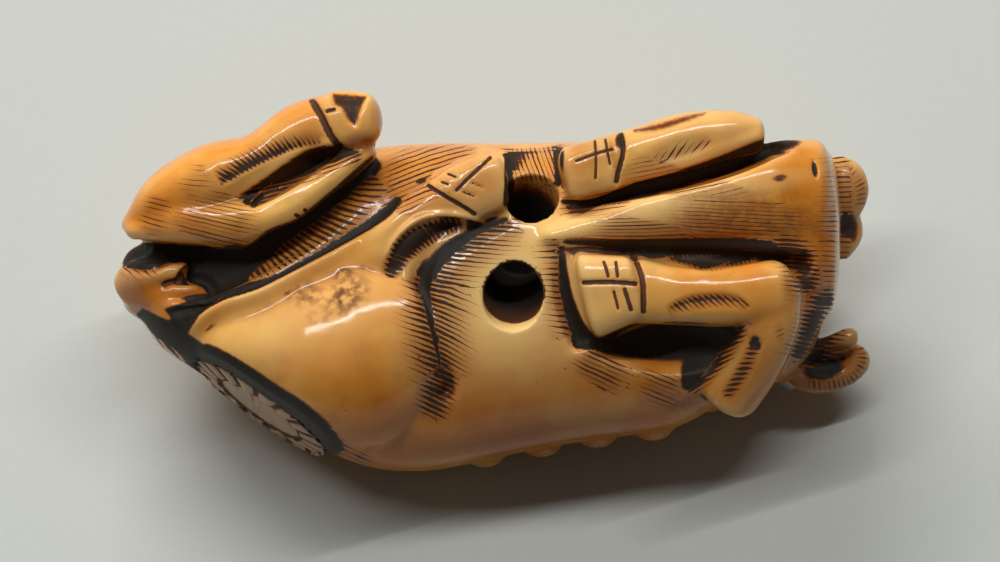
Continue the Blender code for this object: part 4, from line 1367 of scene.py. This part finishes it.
@dataclass(frozen=True)
class StainedIvory:
    """Ivory stained amber and polished by wear, dark where the stain lies in the cuts."""

    amber: tuple[int, int, int] = (232, 168, 76)
    honey: tuple[int, int, int] = (216, 132, 38)
    pale: tuple[int, int, int] = (240, 206, 138)
    deep: tuple[int, int, int] = (160, 84, 32)
    # reddish brown for the ruddy tint, which is also painted shade on the lower flank and the forearm
    ruddy_and_shade: tuple[int, int, int] = (146, 72, 32)
    wear: tuple[int, int, int] = (112, 66, 44)
    brown: tuple[int, int, int] = (82, 46, 22)
    black: tuple[int, int, int] = (32, 27, 18)
    scorch: tuple[int, int, int] = (132, 66, 24)
    shell: tuple[int, int, int] = (172, 142, 112)
    roughness: float = 0.12
    matt: float = 0.5

    def strokes(self, bench: NodeBench, where: object) -> tuple[object, object]:
        """Draws the stain, the hair and the scored lines.

        Args:
            bench: The material's nodes.
            where: The place in the object's own coordinates.

        Returns:
            How dark each point is drawn, from 0 to 1, and how black its ink is.
        """
        stain, ink, hair = bench.split("stain_and_shade")
        ink = bench.math("MULTIPLY", ink, bench.math("MULTIPLY_ADD", hair, -0.25, 1.0))
        phase = bench.attribute("phase").outputs["Fac"]
        fine = bench.math("SUBTRACT", bench.noise(where, 0.35), 0.5)
        broad = bench.math("SUBTRACT", bench.noise(where, 1.6), 0.5)
        wobble = bench.math("MULTIPLY", broad, 0.5)
        number = bench.math("ADD", phase, wobble)
        cell = bench.math("ROUND", number)
        away = bench.math("ABSOLUTE", bench.math("SUBTRACT", number, cell))
        between = bench.math("SQRT", bench.math("MULTIPLY", away, 2.0))
        chance = bench.node("ShaderNodeTexWhiteNoise", {"W": cell}, noise_dimensions="1D").outputs["Value"]
        swing = bench.math("MULTIPLY", bench.math("SUBTRACT", chance, 0.5), 0.36)
        grain = bench.math("MULTIPLY_ADD", swing, hair, bench.math("MULTIPLY", fine, 0.3))
        settled = bench.ramp(bench.attribute("cranny").outputs["Fac"], 0.015, 0.11, (0.0, 1.15))
        drawn = bench.math("ADD", bench.math("MAXIMUM", stain, settled), grain)
        barred = bench.math("MULTIPLY_ADD", between, 1.25, -0.34)
        over = bench.math("SUBTRACT", drawn, bench.math("MULTIPLY_ADD", barred, hair, 0.5))
        sharp = bench.math("MULTIPLY_ADD", hair, 1.4, 2.0)
        dark = bench.math("MULTIPLY_ADD", over, sharp, 0.5, clamp=True)
        for score, mark in zip(bench.split("score"), bench.split("mark")):
            off = bench.math("MULTIPLY_ADD", fine, 0.8, bench.math("ABSOLUTE", score))
            line = bench.ramp(bench.math("SUBTRACT", mark, off), -0.55, 0.25)
            line = bench.math("MULTIPLY", line, bench.ramp(mark, 0.6, 0.9))
            dark = bench.math("MAXIMUM", dark, line)
        return dark, ink

    def petals(self, bench: NodeBench) -> tuple[object, object]:
        """Draws the plaque's dark lines and the painted shade at its rim, and finds where the plaque is."""
        near, spread, parted = bench.split("plaque")
        on_ring = bench.ramp(spread, 0.60, 0.66)
        gap = bench.math("MULTIPLY", bench.ramp(parted, 0.60, 0.86), on_ring)
        ring = bench.math("ABSOLUTE", bench.math("SUBTRACT", spread, 0.62))
        groove = bench.math("SUBTRACT", 1.0, bench.ramp(ring, 0.02, 0.06))
        # the plaque's rim drawn dark: stain and painted shade against the pocket's wall
        wall = bench.ramp(spread, 0.97, 1.0)
        dark = bench.math("MAXIMUM", bench.math("MAXIMUM", gap, groove), wall)
        return bench.math("MULTIPLY", dark, near), near

    def material(self) -> bpy.types.Material:
        """Builds the material.

        Returns:
            The stained ivory, which reads the carving's layers.
        """
        made = bpy.data.materials.new("stained ivory")
        bench = NodeBench(made)
        where = bench.node("ShaderNodeTexCoord").outputs["Object"]
        dark, ink = self.strokes(bench, where)
        pale, ruddy_and_shade, wear = bench.split("tint")
        stain = bench.split("stain_and_shade")[0]

        broad = bench.ramp(bench.noise(where, 7.0, 3.0), 0.35, 0.65)
        body = bench.mix(broad, srgb(*self.amber), srgb(*self.honey))
        cloud = bench.ramp(bench.noise(where, 2.2, 4.0), 0.5, 0.75)
        hollow = bench.attribute("hollow").outputs["Fac"]
        worn = bench.ramp(bench.math("MULTIPLY", hollow, -1.0), 0.05, 0.5)
        sunk = bench.ramp(hollow, 0.02, 0.45)
        halo = bench.ramp(stain, 0.05, 0.9)
        # ruddy: reddish colour, and painted shade on the lower flank and the forearm
        for share, most, colour in (
            (cloud, 0.3, self.deep),
            (pale, 0.75, self.pale),
            (ruddy_and_shade, 0.8, self.ruddy_and_shade),
            (worn, 0.35, self.pale),
            (sunk, 0.75, self.deep),
            (halo, 0.5, self.deep),
        ):
            body = bench.mix(bench.math("MULTIPLY", share, most), body, srgb(*colour))
        mottle = bench.ramp(bench.noise(where, 0.7, 5.0), 0.36, 0.62)
        body = bench.mix(bench.math("MULTIPLY", wear, mottle), body, srgb(*self.wear))
        petal_dark, near = self.petals(bench)
        body = bench.mix(bench.math("MULTIPLY", near, 0.85), body, srgb(*self.shell))
        dots = bench.node("ShaderNodeTexVoronoi", {"Vector": where, "Scale": 1.0 / (1.9 * UNIT)})
        pits = bench.math("SUBTRACT", 1.0, bench.ramp(dots.outputs["Distance"], 0.03, 0.09))
        rare = bench.node("ShaderNodeSeparateXYZ", {0: dots.outputs["Color"]}).outputs[0]
        pits = bench.math("MULTIPLY", pits, bench.ramp(rare, 0.6, 0.8))
        body = bench.mix(bench.math("MULTIPLY", pits, 0.6), body, srgb(*self.brown))
        dark = bench.math("MAXIMUM", dark, petal_dark)
        filled = bench.mix(ink, srgb(*self.brown), srgb(*self.black))
        streak = bench.ramp(bench.noise(where, 0.3, 3.0), 0.45, 0.8)
        filled = bench.mix(bench.math("MULTIPLY", streak, 0.25), filled, srgb(*self.brown))
        body = bench.mix(bench.ramp(dark, 0.0, 0.6), body, srgb(*self.scorch))
        colour = bench.mix(bench.ramp(dark, 0.3, 1.0), body, filled)

        rough = bench.math("MULTIPLY_ADD", bench.ramp(dark, 0.2, 1.0), self.matt, self.roughness)
        rough = bench.math("MULTIPLY_ADD", bench.noise(where, 0.9, 3.0), 0.08, rough)
        ripple = bench.noise(where, 1.3, 2.0)
        grit = bench.noise(where, 0.12, 2.0)
        height = bench.math("MULTIPLY_ADD", grit, 0.10, bench.math("MULTIPLY", ripple, 0.5))
        bump = bench.node("ShaderNodeBump", {"Height": height, "Strength": 0.6, "Distance": 0.05 * UNIT})

        shader = bench.node("ShaderNodeBsdfPrincipled")
        bench.feed(shader.inputs["Base Color"], colour)
        bench.feed(shader.inputs["Roughness"], rough)
        bench.feed(shader.inputs["Normal"], bump.outputs[0])
        shader.inputs["IOR"].default_value = 1.54
        shader.inputs["Specular IOR Level"].default_value = 0.4
        shader.inputs["Subsurface Weight"].default_value = 0.12
        shader.inputs["Subsurface Radius"].default_value = (1.0, 0.5, 0.2)
        shader.inputs["Subsurface Scale"].default_value = 0.6 * UNIT
        bench.output(shader)
        return made


@dataclass(frozen=True)
class PaleFloor:
    """The plain matt floor of the studio."""

    colour: tuple[int, int, int] = (187, 190, 183)
    roughness: float = 0.6
    width: float = 1.6

    def material(self) -> bpy.types.Material:
        """Builds the floor's paint."""
        made = bpy.data.materials.new("pale floor")
        bench = NodeBench(made)
        where = bench.node("ShaderNodeTexCoord").outputs["Object"]
        speck = bench.ramp(bench.noise(where, 0.8), 0.3, 0.7)
        shade = tuple(0.985 * part for part in srgb(*self.colour)[:3])
        colour = bench.mix(speck, srgb(*self.colour), (*shade, 1.0))
        shader = bench.node("ShaderNodeBsdfPrincipled", {"Base Color": colour, "Roughness": self.roughness})
        bench.output(shader)
        return made

    def build(self) -> bpy.types.Object:
        """Lays the floor under the carving."""
        bm = bmesh.new()
        bmesh.ops.create_grid(bm, x_segments=1, y_segments=1, size=self.width / 2)
        made = finished("floor", bm)
        made.data.materials.append(self.material())
        return made


def finished(name: str, bm: bmesh.types.BMesh) -> bpy.types.Object:
    """Makes an object at the origin from a bmesh, and frees the bmesh."""
    mesh = bpy.data.meshes.new(name)
    bm.to_mesh(mesh)
    bm.free()
    made = bpy.data.objects.new(name, mesh)
    bpy.context.scene.collection.objects.link(made)
    return made


class Block:
    """A piece of ivory on the bench: a mesh that is fused, joined and cut."""

    def __init__(self, name: str, shapes: list[Shape]) -> None:
        """Makes one mesh of closed shapes, each formed on its own."""
        whole = bmesh.new()
        for shape in shapes:
            bm = bmesh.new()
            shape.build(bm)
            bmesh.ops.recalc_face_normals(bm, faces=bm.faces)
            mesh = bpy.data.meshes.new(name)
            bm.to_mesh(mesh)
            bm.free()
            whole.from_mesh(mesh)
            bpy.data.meshes.remove(mesh)
        self.piece = finished(name, whole)

    def settle(self) -> None:
        """Replaces the mesh by what its modifiers make of it."""
        graph = bpy.context.evaluated_depsgraph_get()
        mesh = bpy.data.meshes.new_from_object(self.piece.evaluated_get(graph))
        self.piece.modifiers.clear()
        self.piece.data = mesh

    def fuse(self, grid: float, smoothing: int = 0) -> None:
        """Fuses the skin into one on a grid, and softens it."""
        remesh = self.piece.modifiers.new("fuse", "REMESH")
        remesh.mode = "VOXEL"
        remesh.voxel_size = grid
        if smoothing:
            soften = self.piece.modifiers.new("soften", "SMOOTH")
            soften.factor = 0.5
            soften.iterations = smoothing
        self.settle()

    def meet(self, other: "Block", operation: Operation) -> None:
        """Joins another block to this one or cuts it away, and removes the other."""
        boolean = self.piece.modifiers.new("meet", "BOOLEAN")
        boolean.operation = operation.value
        boolean.solver = "MANIFOLD"
        boolean.object = other.piece
        self.settle()
        bpy.data.objects.remove(other.piece)

    def absorb(self, other: "Block") -> None:
        """Takes another block's mesh into this one as it is."""
        bm = bmesh.new()
        bm.from_mesh(self.piece.data)
        bm.from_mesh(other.piece.data)
        bm.to_mesh(self.piece.data)
        bm.free()
        bpy.data.objects.remove(other.piece)

    def surface(self) -> Surface:
        """Reads the mesh's points and normals."""
        mesh = self.piece.data
        places = np.zeros(len(mesh.vertices) * 3, np.float32)
        normals = np.zeros(len(mesh.vertices) * 3, np.float32)
        mesh.vertices.foreach_get("co", places)
        mesh.vertex_normals.foreach_get("vector", normals)
        return Surface(places.reshape(-1, 3).astype(float), normals.reshape(-1, 3).astype(float))

    def hollowness(self, surface: Surface, rounds: int) -> np.ndarray:
        """Measures how far each point lies below the smoothed skin.

        Args:
            surface: The mesh's points.
            rounds: How many times the skin is smoothed.

        Returns:
            The depth of each point, less than 0 where it stands proud.
        """
        mesh = self.piece.data
        ends = np.zeros(len(mesh.edges) * 2, np.int32)
        mesh.edges.foreach_get("vertices", ends)
        starts, stops = ends.reshape(-1, 2).T
        count = len(surface.places)
        joined = np.bincount(ends, minlength=count)
        smooth = surface.places.T
        for _ in range(rounds):
            smooth = np.array(
                [
                    np.bincount(starts, line[stops], count) + np.bincount(stops, line[starts], count)
                    for line in smooth
                ]
            )
            smooth /= joined
        return np.sum((smooth.T - surface.places) * surface.normals, axis=1)

    def thin(self, triangles: int) -> None:
        """Thins the mesh to a number of triangles, and keeps its shape."""
        faces = self.piece.data.polygons
        corners = np.zeros(len(faces), np.int32)
        faces.foreach_get("loop_total", corners)
        before = int(np.sum(corners - 2))
        if before > triangles:
            decimate = self.piece.modifiers.new("thin", "DECIMATE")
            decimate.ratio = triangles / before
            self.settle()

    def place(self, places: np.ndarray) -> None:
        """Moves the mesh's points."""
        self.piece.data.vertices.foreach_set("co", places.astype(np.float32).ravel())
        self.piece.data.update()

    def hold(self, name: str, values: np.ndarray) -> None:
        """Keeps a layer on the mesh, one number or three for each point."""
        if values.ndim == 1:
            layer = self.piece.data.attributes.new(name, "FLOAT", "POINT")
            layer.data.foreach_set("value", values.astype(np.float32))
        else:
            layer = self.piece.data.attributes.new(name, "FLOAT_VECTOR", "POINT")
            layer.data.foreach_set("vector", values.astype(np.float32).ravel())


@dataclass
class Netsuke:
    """The whole carving, from its fused limbs to its engraved and stained skin."""

    trunk: Trunk = field(default_factory=Trunk)
    far_hind_leg: FarHindLeg = field(default_factory=FarHindLeg)
    near_hind_leg: NearHindLeg = field(default_factory=NearHindLeg)
    tail: Tail = field(default_factory=Tail)
    upper_foreleg: UpperForeleg = field(default_factory=UpperForeleg)
    lower_foreleg: LowerForeleg = field(default_factory=LowerForeleg)
    head: Head = field(default_factory=Head)
    medallion: Medallion = field(default_factory=Medallion)
    passage: CordPassage = field(default_factory=CordPassage)
    hollows: Hollows = field(default_factory=Hollows)
    rough_grid: float = 0.24
    fine_grid: float = 0.16
    quick_grid: float = 0.26
    smoothing: int = 8
    triangles: int = 196000
    cranny_rounds: int = 12
    hollow_rounds: int = 90

    def limbs(self) -> list[Shape]:
        """The forms that are joined once the trunk has been hollowed."""
        legs = (self.near_hind_leg, self.far_hind_leg, self.tail, self.upper_foreleg, self.lower_foreleg)
        return [shape for leg in legs for shape in leg.shapes()]

    def rough_out(self) -> Block:
        """Fuses the trunk, hollows it, and joins the limbs, the medallion and the bores."""
        body = Block("netsuke_carved", [*self.trunk.shapes(), *self.head.shapes()])
        body.fuse(self.rough_grid)
        cuts = Block("hollows", [*self.hollows.shapes(), self.head.ear_cup])
        cuts.fuse(self.rough_grid)
        body.meet(cuts, Operation.CUT)
        body.absorb(Block("limbs", self.limbs()))
        body.fuse(self.rough_grid, self.smoothing)
        body.meet(Block("leg hollow", [self.far_hind_leg.hollow]), Operation.CUT)
        for shape, operation in (
            (self.medallion.flat, Operation.CUT),
            (self.medallion.pocket, Operation.CUT),
            (self.medallion.plaque, Operation.JOIN),
        ):
            tool = Block(shape.__name__, [])
            bm = bmesh.new()
            shape(bm)
            bm.to_mesh(tool.piece.data)
            bm.free()
            body.meet(tool, operation)
        for bore in self.passage.bores():
            body.meet(Block("bore", [bore]), Operation.CUT)
        return body

    def marks(self) -> list[Mark]:
        """Every mark of every part."""
        parts = (
            self.trunk,
            self.far_hind_leg,
            self.near_hind_leg,
            self.tail,
            self.upper_foreleg,
            self.lower_foreleg,
            self.head,
            self.medallion,
            self.passage,
        )
        return [mark for part in parts for mark in part.marks()]

    def engrave(self, surface: Surface) -> Layers:
        """Lays every mark over the carving."""
        layers = Layers(len(surface.places))
        for mark in self.marks():
            mark.lay(surface, layers)
        self.passage.lay(surface, layers)
        self.medallion.lay(surface, layers)
        return layers

    def lay_down(self, block: Block, places: np.ndarray) -> None:
        """Leans the carving the way it lies, wears it flat and fits it to its solid's box.

        Args:
            block: The carving.
            places: Its points in the carver's frame.
        """
        lean = np.array(Matrix.Rotation(math.radians(LEAN), 3, "X"))
        places = places @ lean.T
        places[:, 2] = np.maximum(places[:, 2], places[:, 2].min() + REST_CUT)
        low, high = places.min(axis=0), places.max(axis=0)
        box_low, box_high = (np.array(corner) for corner in CAD_BOX)
        scale = (box_high - box_low) / (high - low)
        LOG.info("fitted to the solid's box by %s", np.round(scale / UNIT, 4))
        block.place(box_low + (places - low) * scale)

    def build(self) -> bpy.types.Object:
        """Builds the carving.

        Returns:
            The finished piece, which stands for the solid.
        """
        block = self.rough_out()
        LOG.info("roughed out: %d points", len(block.piece.data.vertices))
        block.fuse(self.fine_grid, 3)
        surface = block.surface()
        block.place(surface.places + surface.normals * self.engrave(surface).height[:, None])
        surface = block.surface()
        LOG.info("engraved: %d points", len(surface.places))
        block.hold("cranny", block.hollowness(surface, self.cranny_rounds))
        block.hold("hollow", block.hollowness(surface, self.hollow_rounds))
        block.thin(self.triangles)
        surface = block.surface()
        layers = self.engrave(surface)
        # the stain layer, which also carries painted shade in the bores, below the far shin's ledge, in the
        # recess behind the lower foreleg and on the medallion's flat
        block.hold("stain_and_shade", np.stack([layers.stain, layers.ink, layers.hair], axis=1))
        for name in ("phase", "score", "mark", "tint", "plaque"):
            block.hold(name, getattr(layers, name))
        self.lay_down(block, surface.places)
        piece = block.piece
        piece.data.materials.clear()
        piece.data.materials.append(StainedIvory().material())
        piece.data.shade_smooth()
        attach(piece, "root")
        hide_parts("netsuke")
        LOG.info("%s: %d faces", piece.name, len(piece.data.polygons))
        return piece


@dataclass(frozen=True)
class Studio:
    """The camera at the photograph's angle and the soft light from above and behind."""

    elevation: float = 65.0
    lens: float = 260.0
    view_width: float = 79.5
    view_centre: tuple[float, float, float] = (0.44, 6.4, 9.0)
    strip_power: float = 2.7
    strip_size: tuple[float, float] = (0.80, 0.02)
    strip_place: tuple[float, float, float] = (-0.04, 0.12, 0.60)
    back_power: float = 3.9
    back_size: tuple[float, float] = (0.45, 0.28)
    back_place: tuple[float, float, float] = (-0.20, 0.48, 0.38)
    sky: float = 0.06

    def camera(self, centre: Vector) -> None:
        """Sets the camera over the carving.

        Args:
            centre: The point that the middle of the picture looks at.
        """
        data = bpy.data.cameras.new("camera")
        data.lens = self.lens
        angle = math.radians(self.elevation)
        back = Vector((0.0, -math.cos(angle), math.sin(angle)))
        distance = self.view_width * UNIT * self.lens / data.sensor_width
        made = bpy.data.objects.new("camera", data)
        made.location = centre + back * distance
        made.rotation_mode = "QUATERNION"
        made.rotation_quaternion = (-back).to_track_quat("-Z", "Y")
        data.clip_start = 0.01
        data.clip_end = 10.0
        bpy.context.scene.collection.objects.link(made)
        bpy.context.scene.camera = made

    def lamp(
        self, name: str, power: float, size: tuple[float, float], place: tuple[float, ...]
    ) -> bpy.types.Object:
        """Hangs a soft lamp that points at the carving."""
        data = bpy.data.lights.new(name, "AREA")
        data.shape = "RECTANGLE"
        data.size, data.size_y = size
        data.energy = power
        made = bpy.data.objects.new(name, data)
        made.location = place
        made.rotation_mode = "QUATERNION"
        made.rotation_quaternion = (-Vector(place)).to_track_quat("-Z", "Y")
        bpy.context.scene.collection.objects.link(made)
        return made

    def build(self) -> None:
        """Sets up the floor, the light and the camera."""
        PaleFloor().build()
        world = bpy.data.worlds.new("studio")
        world.use_nodes = True
        background = world.node_tree.nodes["Background"]
        background.inputs["Color"].default_value = (0.93, 0.96, 1.0, 1.0)
        background.inputs["Strength"].default_value = self.sky
        bpy.context.scene.world = world
        bpy.context.scene.view_settings.view_transform = "Standard"
        self.lamp("strip light", self.strip_power, self.strip_size, self.strip_place)
        self.lamp("back light", self.back_power, self.back_size, self.back_place).visible_glossy = False
        self.camera(Matrix.Rotation(math.radians(LEAN), 3, "X") @ Vector(self.view_centre) * UNIT)
        LOG.info("studio set")


def main() -> None:
    """Builds the carving and the studio, and reports each."""
    logging.basicConfig(level=logging.INFO, format="%(name)s: %(message)s")
    Netsuke().build()
    Studio().build()


if __name__ == "__main__":
    main()
